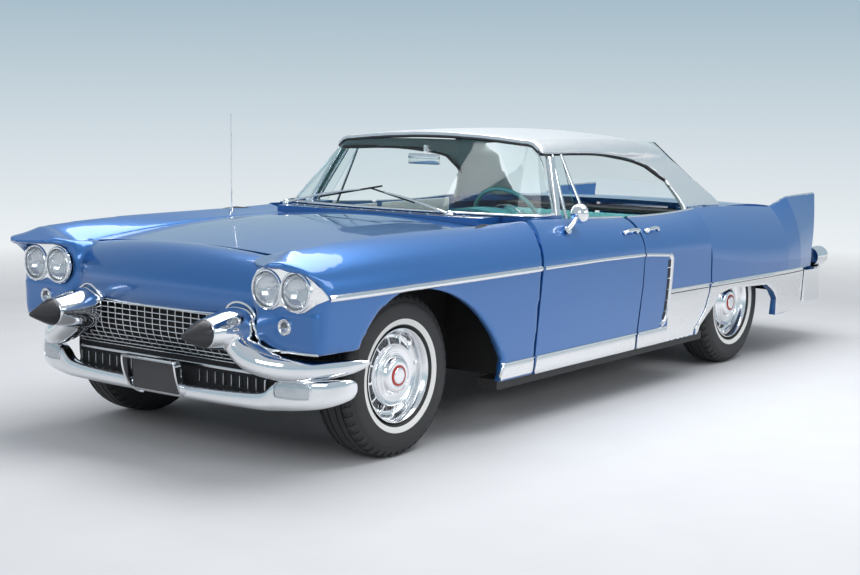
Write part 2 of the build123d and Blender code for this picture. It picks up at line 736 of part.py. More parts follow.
def glass_section(z, half, base_y, run, shares):
    """Level section of a wrapped sheet of glass: three arcs and the same set in by its thickness."""
    end, corner, bow, middle = [(x * half, base_y + y * run) for x, y in shares]
    inward = math.copysign(GLASS, run)

    def flip(point):
        return (-point[0], point[1])

    def inner(point):
        return (point[0] - math.copysign(GLASS, point[0]) if point[0] else 0, point[1] + inward)

    with BuildSketch(Plane.XY.offset(z)) as section:
        with BuildLine():
            ThreePointArc(end, corner, bow)
            ThreePointArc(bow, middle, flip(bow))
            ThreePointArc(flip(bow), flip(corner), flip(end))
            Line(flip(end), inner(flip(end)))
            ThreePointArc(inner(flip(end)), inner(flip(corner)), inner(flip(bow)))
            ThreePointArc(inner(flip(bow)), inner(middle), inner(bow))
            ThreePointArc(inner(bow), inner(corner), inner(end))
            Line(inner(end), end)
        make_face()
    return section.sketch


with BuildPart() as windshield:
    loft(sections=[
        glass_section(COWL_Z + SEAT_GAP, SCREEN_END_X, SCREEN_BASE_Y, SCREEN_RUN, SCREEN_BASE_SHARES),
        glass_section(SCREEN_TOP_Z, SCREEN_END_X, SCREEN_BASE_Y, SCREEN_RUN, SCREEN_TOP_SHARES),
    ])
    # The roof's front edge and the header above the corners close the glass at the top
    with BuildSketch(Plane.XZ.offset(-ROOF_FRONT_Y)):
        header_side = (HEADER_SIDE_SHARE * ROOF_SHARES[0][1] * ROOF_HALF, HEADER_RISE_SHARE * ROOF_Z)
        with BuildLine():
            header_left = (-header_side[0], header_side[1])
            eave_z = header_side[1] - 3 * ROOF_WALL
            ThreePointArc(header_side, (0, ROOF_SHARES[0][3] * ROOF_Z - ROOF_WALL), header_left)
            Polyline(
                header_left,
                (-HALF_WIDTH, eave_z),
                (-HALF_WIDTH, ROOF_Z + OVERRUN),
                (HALF_WIDTH, ROOF_Z + OVERRUN),
                (HALF_WIDTH, eave_z),
                header_side,
            )
        make_face()
    extrude(amount=LENGTH, both=True, mode=Mode.SUBTRACT)
    with BuildSketch(Plane.YZ):
        with Locations((ROOF_FRONT_Y - SEAT_GAP, ROOF_Z)):
            Rectangle(LENGTH, ROOF_Z, align=(Align.MIN, Align.CENTER))
    extrude(amount=WIDTH, both=True, mode=Mode.SUBTRACT)

# A-pillars: chrome posts from the cowl to the roof's front corners
POST_BASE_X = 822.0
POST_TOP_X = 690.0
POST_BASE_OFFSET = 44.0
POST_BASE_Y = SCREEN_BASE_Y + SCREEN_BASE_SHARES[0][1] * SCREEN_RUN + POST_BASE_OFFSET
POST_TOP_OFFSET = 57.0
POST_TOP_Y = ROOF_FRONT_Y + POST_TOP_OFFSET
POST_LENGTH = 50.0
POST_WIDTH = 40.0
POST_TOP_WIDTH = 34.0
with BuildPart() as windshield_frame:
    with BuildSketch(Plane.XY.offset(COWL_Z + SEAT_GAP)):
        with Locations((POST_BASE_X, POST_BASE_Y)):
            Rectangle(POST_WIDTH, POST_LENGTH)
    with BuildSketch(Plane.XY.offset(ROOF_SHARES[0][2] * ROOF_Z - GAP / 2)):
        with Locations((POST_TOP_X, POST_TOP_Y)):
            Rectangle(POST_TOP_WIDTH, POST_LENGTH)
    loft()
    mirror(about=Plane.YZ)

with BuildPart() as rear_window:
    loft(sections=[
        glass_section(
            BELT_Z + SEAT_GAP, REAR_GLASS_END_X, REAR_GLASS_BASE_Y, -REAR_GLASS_RUN, REAR_GLASS_BASE_SHARES
        ),
        glass_section(
            REAR_GLASS_TOP_Z, REAR_GLASS_END_X, REAR_GLASS_BASE_Y, -REAR_GLASS_RUN, REAR_GLASS_TOP_SHARES
        ),
    ])
    add(roof.part, mode=Mode.SUBTRACT)

# Vent panes stand on the front doors behind the A-pillars
VENT_LENGTH = 90.0
VENT_TOP_LENGTH = 75.0
VENT_X = DOOR_INNER_X + GLASS
VENT_TOP_X = 692.0
VENT_TOP_Z = 1285.0
VENT_FOOT_OFFSET = 26.0
VENT_FOOT_Z = CREST_Z - VENT_FOOT_OFFSET
VENT_START_OFFSET = 57.0
VENT_START_Y = POST_BASE_Y + VENT_START_OFFSET
VENT_TOP_OFFSET = 43.0
VENT_TOP_Y = POST_TOP_Y + VENT_TOP_OFFSET
with BuildPart() as vent_window_left:
    with BuildSketch(Plane.XY.offset(VENT_FOOT_Z)):
        with Locations((VENT_X, VENT_START_Y)):
            Rectangle(GLASS, VENT_LENGTH, align=(Align.CENTER, Align.MIN))
    with BuildSketch(Plane.XY.offset(VENT_TOP_Z)):
        with Locations((VENT_TOP_X, VENT_TOP_Y)):
            Rectangle(GLASS, VENT_TOP_LENGTH, align=(Align.CENTER, Align.MIN))
    loft()
    add(door_front_left.part, mode=Mode.SUBTRACT)

# Tyre and wheel, turned about X at the left wheel's centre plane


def wheel_plane(axle_y):
    """Plane of revolution: local x is across the car, local y is up from the axle."""
    return Plane(origin=(WHEEL_X, axle_y, TYRE_RADIUS), x_dir=(1, 0, 0), z_dir=(0, -1, 0))


def tyre_outline():
    """Half-section of the tyre: tread, shoulders, sidewalls and the rim's seat."""
    half = TYRE_WIDTH / 2
    tread = TREAD_WIDTH / 2
    bulge = (TYRE_RADIUS + RIM_RADIUS) / 2
    seat = RIM_WIDTH / 2
    with BuildSketch() as outline:
        Polygon(
            (-tread, TYRE_RADIUS),
            (tread, TYRE_RADIUS),
            (half, bulge),
            (seat, RIM_RADIUS + SEAT_GAP),
            (-seat, RIM_RADIUS + SEAT_GAP),
            (-half, bulge),
            align=None,
        )
    return outline.sketch


def tyre_at(axle_y):
    """One tyre on the left side."""
    plane = wheel_plane(axle_y)
    with BuildPart() as tyre:
        with BuildSketch(plane):
            add(tyre_outline())
        revolve(axis=Axis(plane.origin, (1, 0, 0)))
    return tyre.part


def wheel_at(axle_y):
    """One wheel on the left side: rim, ribbed disc with windows, raised dish and hub cap."""
    plane = wheel_plane(axle_y)
    seat = RIM_WIDTH / 2
    inner = RIM_RADIUS - RIM_WALL
    disc = DISC_OUTSET
    with BuildPart() as wheel:
        with BuildSketch(plane):
            with BuildLine():
                Polyline(
                    (-seat, RIM_RADIUS),
                    (seat, RIM_RADIUS),
                    (seat, inner),
                    (disc + DISC_THICKNESS, WINDOW_OUTER_RADIUS + RIM_WALL),
                    (disc + DISC_THICKNESS, DISH_RADIUS),
                    (disc + DISH_HEIGHT, CAP_RADIUS),
                    (disc + DISH_HEIGHT + CAP_HEIGHT, HUB_RADIUS),
                    (disc + DISH_HEIGHT + CAP_HEIGHT, 0),
                    (disc, 0),
                    (disc, SPINDLE_RADIUS + FIT),
                    (disc - SPINDLE_LENGTH, SPINDLE_RADIUS + FIT),
                    (disc - SPINDLE_LENGTH, HUB_RADIUS),
                    (disc, HUB_RADIUS),
                    (disc, inner),
                    (-seat, inner),
                    (-seat, RIM_RADIUS),
                )
            make_face()
        revolve(axis=Axis(plane.origin, (1, 0, 0)))
        with BuildSketch(Plane.YZ.offset(WHEEL_X)):
            with Locations((axle_y, TYRE_RADIUS)):
                with PolarLocations((WINDOW_OUTER_RADIUS + WINDOW_INNER_RADIUS) / 2, WINDOW_COUNT):
                    Rectangle(WINDOW_OUTER_RADIUS - WINDOW_INNER_RADIUS, HUB_RADIUS)
        extrude(amount=TYRE_WIDTH, mode=Mode.SUBTRACT)
    return wheel.part


# Front knuckle: an upright between the arms, a backing plate and the wheel's spindle
KINGPIN_OFFSET = 52.0
KINGPIN_X = WHEEL_X - KINGPIN_OFFSET
ARM_THICKNESS = 28.0
LOWER_ARM_Z = 228.0
UPPER_ARM_Z = 474.0
ARM_INNER_X = 472.0
INNER_FENDER_X = 470.0
UPRIGHT_WIDTH = 40.0
UPRIGHT_DEPTH = 70.0
PLATE_RADIUS = 104.0
PLATE_THICKNESS = 6.0
WHEEL_HUB_X = WHEEL_X + DISC_OUTSET - SPINDLE_LENGTH
with BuildPart() as knuckle_left:
    with BuildSketch(Plane.XY.offset(LOWER_ARM_Z + ARM_THICKNESS + SEAT_GAP)):
        with Locations((KINGPIN_X, FRONT_AXLE_Y)):
            Rectangle(UPRIGHT_WIDTH, UPRIGHT_DEPTH)
    extrude(amount=UPPER_ARM_Z - LOWER_ARM_Z - ARM_THICKNESS - 2 * SEAT_GAP)
    with BuildSketch(Plane.YZ.offset(KINGPIN_X)):
        with Locations((FRONT_AXLE_Y, TYRE_RADIUS)):
            Circle(SPINDLE_RADIUS)
    extrude(amount=WHEEL_HUB_X + SPINDLE_LENGTH * 0.9 - KINGPIN_X)
    with BuildSketch(Plane.YZ.offset(WHEEL_HUB_X - GAP)):
        with Locations((FRONT_AXLE_Y, TYRE_RADIUS)):
            Circle(PLATE_RADIUS)
    extrude(amount=-PLATE_THICKNESS)

# Front suspension: crossmember, lower and upper arms on both sides
CROSS_LENGTH = 130.0
ARM_SETBACK = 80.0
CROSS_Z = 200.0
ARM_ROOT = 240.0
ARM_TIP = 60.0
RAIL_X = 400.0
RAIL_WIDTH = 90.0
FRONT_RAIL_Z = 300.0
with BuildPart() as front_suspension:
    with BuildSketch(Plane.XY.offset(CROSS_Z)):
        with Locations((0, FRONT_AXLE_Y)):
            Rectangle(2 * ARM_INNER_X, CROSS_LENGTH)
    extrude(amount=FRONT_RAIL_Z - SEAT_GAP - CROSS_Z)
    with BuildSketch(Plane.XY.offset(LOWER_ARM_Z)):
        Polygon(
            (ARM_INNER_X - ARM_SETBACK, FRONT_AXLE_Y - ARM_ROOT / 2),
            (KINGPIN_X + UPRIGHT_WIDTH / 2, FRONT_AXLE_Y - ARM_TIP / 2),
            (KINGPIN_X + UPRIGHT_WIDTH / 2, FRONT_AXLE_Y + ARM_TIP / 2),
            (ARM_INNER_X - ARM_SETBACK, FRONT_AXLE_Y + ARM_ROOT / 2),
            align=None,
        )
        mirror(about=Plane.YZ)
    extrude(amount=ARM_THICKNESS)
    with BuildSketch(Plane.XY.offset(UPPER_ARM_Z)):
        Polygon(
            (INNER_FENDER_X + SEAT_GAP, FRONT_AXLE_Y - ARM_ROOT / 2),
            (KINGPIN_X + UPRIGHT_WIDTH / 2, FRONT_AXLE_Y - ARM_TIP / 2),
            (KINGPIN_X + UPRIGHT_WIDTH / 2, FRONT_AXLE_Y + ARM_TIP / 2),
            (INNER_FENDER_X + SEAT_GAP, FRONT_AXLE_Y + ARM_ROOT / 2),
            align=None,
        )
        mirror(about=Plane.YZ)
    extrude(amount=ARM_THICKNESS)

# Rear axle: tube with a differential, backing plates and spindles
AXLE_RADIUS = 42.0
DIFF_RADIUS = 125.0
DIFF_WIDTH = 180.0
PINION_RADIUS = 52.0
PINION_LENGTH = 160.0
SPRING_RADIUS = 44.0
with BuildPart() as rear_axle:
    with BuildSketch(Plane.YZ):
        with Locations((REAR_AXLE_Y, TYRE_RADIUS)):
            Circle(AXLE_RADIUS)
    extrude(amount=WHEEL_HUB_X - GAP, both=True)
    with BuildSketch(Plane.YZ):
        with Locations((REAR_AXLE_Y, TYRE_RADIUS)):
            Circle(SPINDLE_RADIUS)
    extrude(amount=WHEEL_HUB_X + SPINDLE_LENGTH * 0.9, both=True)
    with BuildSketch(Plane.YZ):
        with Locations((REAR_AXLE_Y, TYRE_RADIUS)):
            Circle(DIFF_RADIUS)
    extrude(amount=DIFF_WIDTH / 2, both=True)
    with BuildSketch(Plane.YZ.offset(WHEEL_HUB_X - GAP)):
        with Locations((REAR_AXLE_Y, TYRE_RADIUS)):
            Circle(PLATE_RADIUS)
    plate = extrude(amount=-PLATE_THICKNESS)
    mirror(plate, about=Plane.YZ)

# Chassis: an X-shaped frame, low between the axles and raised over each of them
FRAME_Z = 150.0
FRAME_HEIGHT = 76.0
REAR_RAIL_Z = 440.0
REAR_RAIL_X = 480.0
FRAME_WAIST_X = 120.0
FRAME_FRONT_OFFSET = 430.0
FRAME_FRONT_Y = FRONT_Y + FRAME_FRONT_OFFSET
FRAME_REAR_OFFSET = 300.0
FRAME_REAR_Y = REAR_Y - FRAME_REAR_OFFSET
KICK_FRONT_OFFSET = 560.0
KICK_FRONT_Y = FRONT_AXLE_Y + KICK_FRONT_OFFSET
KICK_REAR_OFFSET = 145.0
KICK_REAR_Y = REAR_AXLE_Y - KICK_REAR_OFFSET
with BuildPart() as chassis_frame:
    with BuildSketch(Plane.XY.offset(FRAME_Z)):
        Polygon(
            (RAIL_X - RAIL_WIDTH / 2, KICK_FRONT_Y),
            (RAIL_X + RAIL_WIDTH / 2, KICK_FRONT_Y),
            (FRAME_WAIST_X, along(KICK_FRONT_Y, KICK_REAR_Y, 0.35)),
            (FRAME_WAIST_X, along(KICK_FRONT_Y, KICK_REAR_Y, 0.60)),
            (REAR_RAIL_X + RAIL_WIDTH / 2, KICK_REAR_Y),
            (REAR_RAIL_X - RAIL_WIDTH / 2, KICK_REAR_Y),
            (FRAME_WAIST_X - RAIL_WIDTH, along(KICK_FRONT_Y, KICK_REAR_Y, 0.60)),
            (FRAME_WAIST_X - RAIL_WIDTH, along(KICK_FRONT_Y, KICK_REAR_Y, 0.35)),
            align=None,
        )
        mirror(about=Plane.YZ)
        with Locations((0, along(KICK_FRONT_Y, KICK_REAR_Y, 0.47))):
            Rectangle(2 * FRAME_WAIST_X, RAIL_WIDTH * 4)
    extrude(amount=FRAME_HEIGHT)
    for rail_x, rail_z, near_y, far_y, foot_y in (
        (RAIL_X, FRONT_RAIL_Z, FRAME_FRONT_Y, KICK_FRONT_Y + RAIL_WIDTH, KICK_FRONT_Y),
        (REAR_RAIL_X, REAR_RAIL_Z, KICK_REAR_Y - RAIL_WIDTH, FRAME_REAR_Y, KICK_REAR_Y - RAIL_WIDTH),
    ):
        with BuildSketch(Plane.XY.offset(rail_z)):
            with Locations((rail_x, near_y), (-rail_x, near_y)):
                Rectangle(RAIL_WIDTH, far_y - near_y, align=(Align.CENTER, Align.MIN))
        extrude(amount=FRAME_HEIGHT)
        with BuildSketch(Plane.XY.offset(FRAME_Z)):
            with Locations((rail_x, foot_y), (-rail_x, foot_y)):
                Rectangle(RAIL_WIDTH, RAIL_WIDTH, align=(Align.CENTER, Align.MIN))
        extrude(amount=rail_z - FRAME_Z + FRAME_HEIGHT)
    # Crossmembers tie the rails at the front and the back
    for cross_y, cross_z, half in (
        (FRAME_FRONT_Y, FRONT_RAIL_Z, RAIL_X),
        (FRAME_REAR_Y - RAIL_WIDTH, REAR_RAIL_Z, REAR_RAIL_X),
    ):
        with BuildSketch(Plane.XY.offset(cross_z)):
            with Locations((0, cross_y)):
                Rectangle(2 * half, RAIL_WIDTH, align=(Align.CENTER, Align.MIN))
        extrude(amount=FRAME_HEIGHT)

# Engine, radiator, propeller shaft, fuel tank
ENGINE_WIDTH = 560.0
ENGINE_LENGTH = 700.0
ENGINE_BOTTOM_Z = 390.0
ENGINE_TOP_Z = 850.0
GEARBOX_WIDTH = 130.0
SHAFT_RADIUS = 36.0
SHAFT_FRONT_OFFSET = 1120.0
SHAFT_FRONT_Y = FRONT_AXLE_Y + SHAFT_FRONT_OFFSET
SHAFT_Z = 400.0
ENGINE_FRONT_OFFSET = 60.0
ENGINE_FRONT_Y = FRONT_AXLE_Y - ENGINE_FRONT_OFFSET
FIREWALL_OFFSET = 70.0
FIREWALL_Y = COWL_FRONT_Y + FIREWALL_OFFSET
with BuildPart() as engine_block:
    with BuildSketch(Plane.XY.offset(ENGINE_BOTTOM_Z)):
        with Locations((0, ENGINE_FRONT_Y)):
            Rectangle(ENGINE_WIDTH, ENGINE_LENGTH, align=(Align.CENTER, Align.MIN))
    extrude(amount=ENGINE_TOP_Z - ENGINE_BOTTOM_Z)
    chamfer(edges().filter_by(Axis.Y).group_by(Axis.Z)[-1], length=ENGINE_WIDTH / 4)
    with BuildSketch(Plane.XZ.offset(-(ENGINE_FRONT_Y + ENGINE_LENGTH))):
        with Locations((0, SHAFT_Z)):
            Circle(GEARBOX_WIDTH / 2)
    extrude(amount=-(SHAFT_FRONT_Y - ENGINE_FRONT_Y - ENGINE_LENGTH))
    # Side mounts seat the engine on the front rails
    with BuildSketch(Plane.XY.offset(FRONT_RAIL_Z + FRAME_HEIGHT + SEAT_GAP)):
        with Locations((0, FRONT_AXLE_Y + 2 * ARM_ROOT)):
            Rectangle(2 * RAIL_X, RAIL_WIDTH)
    extrude(amount=RAIL_WIDTH)

shaft_run = REAR_AXLE_Y - SHAFT_FRONT_Y
shaft_tilt = math.atan2(SHAFT_Z - TYRE_RADIUS, shaft_run)
shaft_way = (0, math.cos(shaft_tilt), -math.sin(shaft_tilt))
shaft_start = SHAFT_RADIUS * math.sin(shaft_tilt) + SEAT_GAP
pinion_plane = Plane(origin=(0, REAR_AXLE_Y, TYRE_RADIUS), x_dir=(1, 0, 0), z_dir=shaft_way)
with BuildPart() as driveshaft:
    with BuildSketch(pinion_plane.offset(-PINION_LENGTH - SEAT_GAP)):
        Circle(SHAFT_RADIUS)
    extrude(amount=PINION_LENGTH + SEAT_GAP + shaft_start - shaft_run / math.cos(shaft_tilt))

with BuildPart() as rear_axle_with_pinion:
    add(rear_axle.part)
    with BuildSketch(pinion_plane):
        Circle(PINION_RADIUS)
    extrude(amount=-PINION_LENGTH)
    # Spring seats stand on the tube under the frame's rear rails
    with BuildSketch(Plane.XY.offset(TYRE_RADIUS)):
        with Locations((REAR_RAIL_X, REAR_AXLE_Y), (-REAR_RAIL_X, REAR_AXLE_Y)):
            Circle(SPRING_RADIUS)
    extrude(amount=REAR_RAIL_Z - SEAT_GAP - TYRE_RADIUS)

RADIATOR_HALF = 330.0
RADIATOR_THICKNESS = 60.0
RADIATOR_OFFSET = 60.0
RADIATOR_Y = FRAME_FRONT_Y + RAIL_WIDTH + RADIATOR_OFFSET
with BuildPart() as radiator:
    with BuildSketch(Plane.XY.offset(FRONT_RAIL_Z + FRAME_HEIGHT + SEAT_GAP)):
        with Locations((0, RADIATOR_Y)):
            Rectangle(2 * (RAIL_X + RAIL_WIDTH / 2), RADIATOR_THICKNESS, align=(Align.CENTER, Align.MIN))
    extrude(amount=RADIATOR_THICKNESS)
    with BuildSketch(Plane.XY.offset(FRONT_RAIL_Z + FRAME_HEIGHT + SEAT_GAP)):
        with Locations((0, RADIATOR_Y)):
            Rectangle(2 * RADIATOR_HALF, RADIATOR_THICKNESS, align=(Align.CENTER, Align.MIN))
    extrude(amount=HOOD_FRONT_Z - HOOD_CROWN - 3 * HOOD_WALL - FRONT_RAIL_Z - FRAME_HEIGHT)

# Floor: a low pan with a tunnel for the shaft, then steps up over the rear axle
FLOOR_SHEET = 10.0
FLOOR_Z = FRAME_Z + FRAME_HEIGHT
FLOOR_HALF = 780.0
TUNNEL_HALF = 115.0
TUNNEL_Z = 470.0
REAR_PAN_Z = 480.0
FLOOR_STEP_OFFSET = 600.0
FLOOR_STEP_Y = REAR_AXLE_Y - FLOOR_STEP_OFFSET
TRUNK_STEP_OFFSET = 30.0
TRUNK_STEP_Y = KICK_REAR_Y - RAIL_WIDTH - TRUNK_STEP_OFFSET
TRUNK_FLOOR_Z = REAR_RAIL_Z + FRAME_HEIGHT
TRUNK_HALF = 640.0
FLOOR_FRONT_Y = FIREWALL_Y
TRUNK_END_Y = LID_REAR_Y - HOOD_WALL / 2
with BuildPart() as floor_pan:
    with BuildSketch(Plane.XZ.offset(-FLOOR_FRONT_Y)):
        with BuildLine():
            Polyline(
                (-FLOOR_HALF, FLOOR_Z),
                (-TUNNEL_HALF - FLOOR_SHEET, FLOOR_Z),
                (-TUNNEL_HALF - FLOOR_SHEET, TUNNEL_Z),
                (TUNNEL_HALF + FLOOR_SHEET, TUNNEL_Z),
                (TUNNEL_HALF + FLOOR_SHEET, FLOOR_Z),
                (FLOOR_HALF, FLOOR_Z),
                (FLOOR_HALF, FLOOR_Z + FLOOR_SHEET),
                (TUNNEL_HALF + 2 * FLOOR_SHEET, FLOOR_Z + FLOOR_SHEET),
                (TUNNEL_HALF + 2 * FLOOR_SHEET, TUNNEL_Z + FLOOR_SHEET),
                (-TUNNEL_HALF - 2 * FLOOR_SHEET, TUNNEL_Z + FLOOR_SHEET),
                (-TUNNEL_HALF - 2 * FLOOR_SHEET, FLOOR_Z + FLOOR_SHEET),
                (-FLOOR_HALF, FLOOR_Z + FLOOR_SHEET),
                (-FLOOR_HALF, FLOOR_Z),
            )
        make_face()
    extrude(amount=-(FLOOR_STEP_Y - FLOOR_FRONT_Y))
    with BuildSketch(Plane.XZ.offset(-FLOOR_STEP_Y)):
        with Locations((0, FLOOR_Z)):
            Rectangle(2 * TRUNK_HALF, REAR_PAN_Z - FLOOR_Z, align=(Align.CENTER, Align.MIN))
        with Locations((0, FLOOR_Z)):
            Rectangle(
                2 * TUNNEL_HALF, TUNNEL_Z - FLOOR_Z, align=(Align.CENTER, Align.MIN), mode=Mode.SUBTRACT
            )
    extrude(amount=FLOOR_SHEET)
    with BuildSketch(Plane.XY.offset(REAR_PAN_Z)):
        with Locations((0, FLOOR_STEP_Y - FLOOR_SHEET)):
            pan_length = TRUNK_STEP_Y - FLOOR_STEP_Y + FLOOR_SHEET
            Rectangle(2 * TRUNK_HALF, pan_length, align=(Align.CENTER, Align.MIN))
    extrude(amount=FLOOR_SHEET)
    with BuildSketch(Plane.XY.offset(REAR_PAN_Z)):
        with Locations((0, TRUNK_STEP_Y - FLOOR_SHEET)):
            Rectangle(2 * TRUNK_HALF, FLOOR_SHEET, align=(Align.CENTER, Align.MIN))
    extrude(amount=TRUNK_FLOOR_Z - REAR_PAN_Z + FLOOR_SHEET)
    with BuildSketch(Plane.XY.offset(TRUNK_FLOOR_Z)):
        with Locations((0, TRUNK_STEP_Y - FLOOR_SHEET)):
            trunk_length = TRUNK_END_Y - TRUNK_STEP_Y + FLOOR_SHEET
            Rectangle(2 * TRUNK_HALF, trunk_length, align=(Align.CENTER, Align.MIN))
    extrude(amount=FLOOR_SHEET)

SILL_OUTER_X = 900.0
SILL_FRONT_OFFSET = 700.0
SILL_FRONT_Y = FRONT_AXLE_Y + SILL_FRONT_OFFSET
SILL_REAR_OFFSET = 440.0
SILL_REAR_Y = REAR_AXLE_Y - SILL_REAR_OFFSET
with BuildPart() as sills:
    with BuildSketch(Plane.XY.offset(ROCKER_BOTTOM_Z)):
        Polygon(
            (FLOOR_HALF, SILL_FRONT_Y),
            (SILL_OUTER_X, SILL_FRONT_Y),
            (SILL_OUTER_X, SILL_REAR_Y),
            (FLOOR_HALF, SILL_REAR_Y),
            align=None,
        )
        mirror(about=Plane.YZ)
    extrude(amount=ROCKER_TOP_Z - ROCKER_BOTTOM_Z)

FIREWALL_SHEET = 14.0
HINGE_POST_Z = 900.0
HINGE_POST_LENGTH = 60.0
REAR_POST_Z = 700.0
STRAP_LOW_Z = 400.0
STRAP_HIGH_Z = 620.0
STRAP_HEIGHT = 60.0
STRAP_PAD = 10.0
STRAP_PAD_OFFSET = 36.0
with BuildPart() as firewall:
    with BuildSketch(Plane.XZ.offset(-FIREWALL_Y)):
        with Locations((0, FLOOR_Z)):
            Rectangle(2 * HOOD_HALF, COWL_Z - COWL_WALL - FLOOR_Z, align=(Align.CENTER, Align.MIN))
            Rectangle(2 * FLOOR_HALF, HINGE_POST_Z - FLOOR_Z, align=(Align.CENTER, Align.MIN))
        with Locations((0, FLOOR_Z)):
            Rectangle(
                2 * TUNNEL_HALF + 2 * FLOOR_SHEET,
                TUNNEL_Z - FLOOR_Z,
                align=(Align.CENTER, Align.MIN),
                mode=Mode.SUBTRACT,
            )
    extrude(amount=FIREWALL_SHEET)
    # Posts behind the front wheels carry the door hinges
    with BuildSketch(Plane.XY.offset(ROCKER_TOP_Z)):
        post_x = (FLOOR_HALF + COWL_SIDE_X) / 2
        with Locations((post_x, FIREWALL_Y), (-post_x, FIREWALL_Y)):
            Rectangle(COWL_SIDE_X - FLOOR_HALF, HINGE_POST_LENGTH, align=(Align.CENTER, Align.MAX))
    extrude(amount=HINGE_POST_Z - ROCKER_TOP_Z)
    # Posts ahead of the rear wheels carry the rear doors
    with BuildSketch(Plane.XY.offset(ROCKER_TOP_Z)):
        with Locations((post_x, SILL_REAR_Y), (-post_x, SILL_REAR_Y)):
            Rectangle(COWL_SIDE_X - FLOOR_HALF, HINGE_POST_LENGTH, align=(Align.CENTER, Align.MAX))
    extrude(amount=REAR_POST_Z - ROCKER_TOP_Z)
    # Straps reach from the posts to the doors' inner faces beside their hinges
    for strap_z in (STRAP_LOW_Z, STRAP_HIGH_Z):
        with BuildSketch(Plane.XY.offset(strap_z)):
            for near_y, far_y, reach_x in (
                (FIREWALL_Y - HINGE_POST_LENGTH, GAP1_Y + HINGE_POST_LENGTH, DOOR_INNER_X - STRAP_PAD),
                (GAP1_Y + STRAP_PAD_OFFSET, GAP1_Y + HINGE_POST_LENGTH, DOOR_INNER_X - SEAT_GAP),
                (GAP3_Y - HINGE_POST_LENGTH, SILL_REAR_Y, DOOR_INNER_X - SEAT_GAP),
            ):
                strap_x = (FLOOR_HALF + reach_x) / 2
                with Locations((strap_x, near_y), (-strap_x, near_y)):
                    Rectangle(reach_x - FLOOR_HALF, far_y - near_y, align=(Align.CENTER, Align.MIN))
        extrude(amount=STRAP_HEIGHT)

INNER_FENDER_START_OFFSET = 30.0
INNER_FENDER_START_Y = HOOD_FRONT_Y - INNER_FENDER_START_OFFSET
INNER_FENDER_SHEET = 8.0
INNER_FENDER_TOP_Z = 840.0
INNER_FENDER_BOTTOM_Z = FRONT_RAIL_Z + FRAME_HEIGHT + GAP
with BuildPart() as inner_fenders:
    with BuildSketch(Plane.XZ.offset(-INNER_FENDER_START_Y)):
        with BuildLine():
            Polyline(
                (INNER_FENDER_X, INNER_FENDER_BOTTOM_Z),
                (INNER_FENDER_X, INNER_FENDER_TOP_Z),
                (HALF_WIDTH * 0.90, INNER_FENDER_TOP_Z),
                (HALF_WIDTH * 0.90, INNER_FENDER_TOP_Z + INNER_FENDER_SHEET),
                (INNER_FENDER_X - INNER_FENDER_SHEET, INNER_FENDER_TOP_Z + INNER_FENDER_SHEET),
                (INNER_FENDER_X - INNER_FENDER_SHEET, INNER_FENDER_BOTTOM_Z),
                (INNER_FENDER_X, INNER_FENDER_BOTTOM_Z),
            )
        make_face()
        mirror(about=Plane.YZ)
    extrude(amount=-(FIREWALL_Y - HINGE_POST_LENGTH - SEAT_GAP - INNER_FENDER_START_Y))
    # A rail on each ledge carries the fender's top
    with BuildSketch(Plane.XY.offset(INNER_FENDER_TOP_Z)):
        rail_start = FRONT_AXLE_Y - ARM_ROOT / 2
        rail_middle = (FENDER_INNER_X + FENDER_WALL, rail_start)
        with Locations(rail_middle, (-rail_middle[0], rail_start)):
            Rectangle(FENDER_WALL, SILL_FRONT_Y - rail_start, align=(Align.CENTER, Align.MIN))
    extrude(amount=CREST_Z - 1.5 * FENDER_WALL - INNER_FENDER_TOP_Z)
    with Locations((0, 0, -SEAT_GAP)):
        add(fender_left.part, mode=Mode.SUBTRACT)
        add(fender_left.part.mirror(Plane.YZ), mode=Mode.SUBTRACT)

TANK_LENGTH = 420.0
TANK_HEIGHT = 170.0
TANK_HALF = 400.0
with BuildPart() as fuel_tank:
    with BuildSketch(Plane.XY.offset(TRUNK_FLOOR_Z - TANK_HEIGHT)):
        with Locations((0, FIN_START_Y)):
            RectangleRounded(2 * TANK_HALF, TANK_LENGTH, RAIL_WIDTH / 2, align=(Align.CENTER, Align.MIN))
    extrude(amount=TANK_HEIGHT)

# Interior: dashboard, column, seats and parcel shelf
DASH_HALF = 690.0
DASH_DEPTH = 230.0
DASH_OFFSET = 70.0
DASH_Y = COWL_REAR_Y + DASH_OFFSET
DASH_BOTTOM_Z = 700.0
DASH_TOP_Z = 975.0
with BuildPart() as dash_body:
    with BuildSketch(Plane.YZ.offset(-DASH_HALF)):
        with BuildLine():
            Polyline((DASH_Y, DASH_BOTTOM_Z), (DASH_Y, DASH_TOP_Z), (DASH_Y + DASH_DEPTH * 0.8, DASH_TOP_Z))
            ThreePointArc(
                (DASH_Y + DASH_DEPTH * 0.8, DASH_TOP_Z),
                (DASH_Y + DASH_DEPTH, DASH_TOP_Z - DASH_DEPTH * 0.3),
                (DASH_Y + DASH_DEPTH * 0.6, DASH_BOTTOM_Z),
            )
            Line((DASH_Y + DASH_DEPTH * 0.6, DASH_BOTTOM_Z), (DASH_Y, DASH_BOTTOM_Z))
        make_face()
    extrude(amount=2 * DASH_HALF)

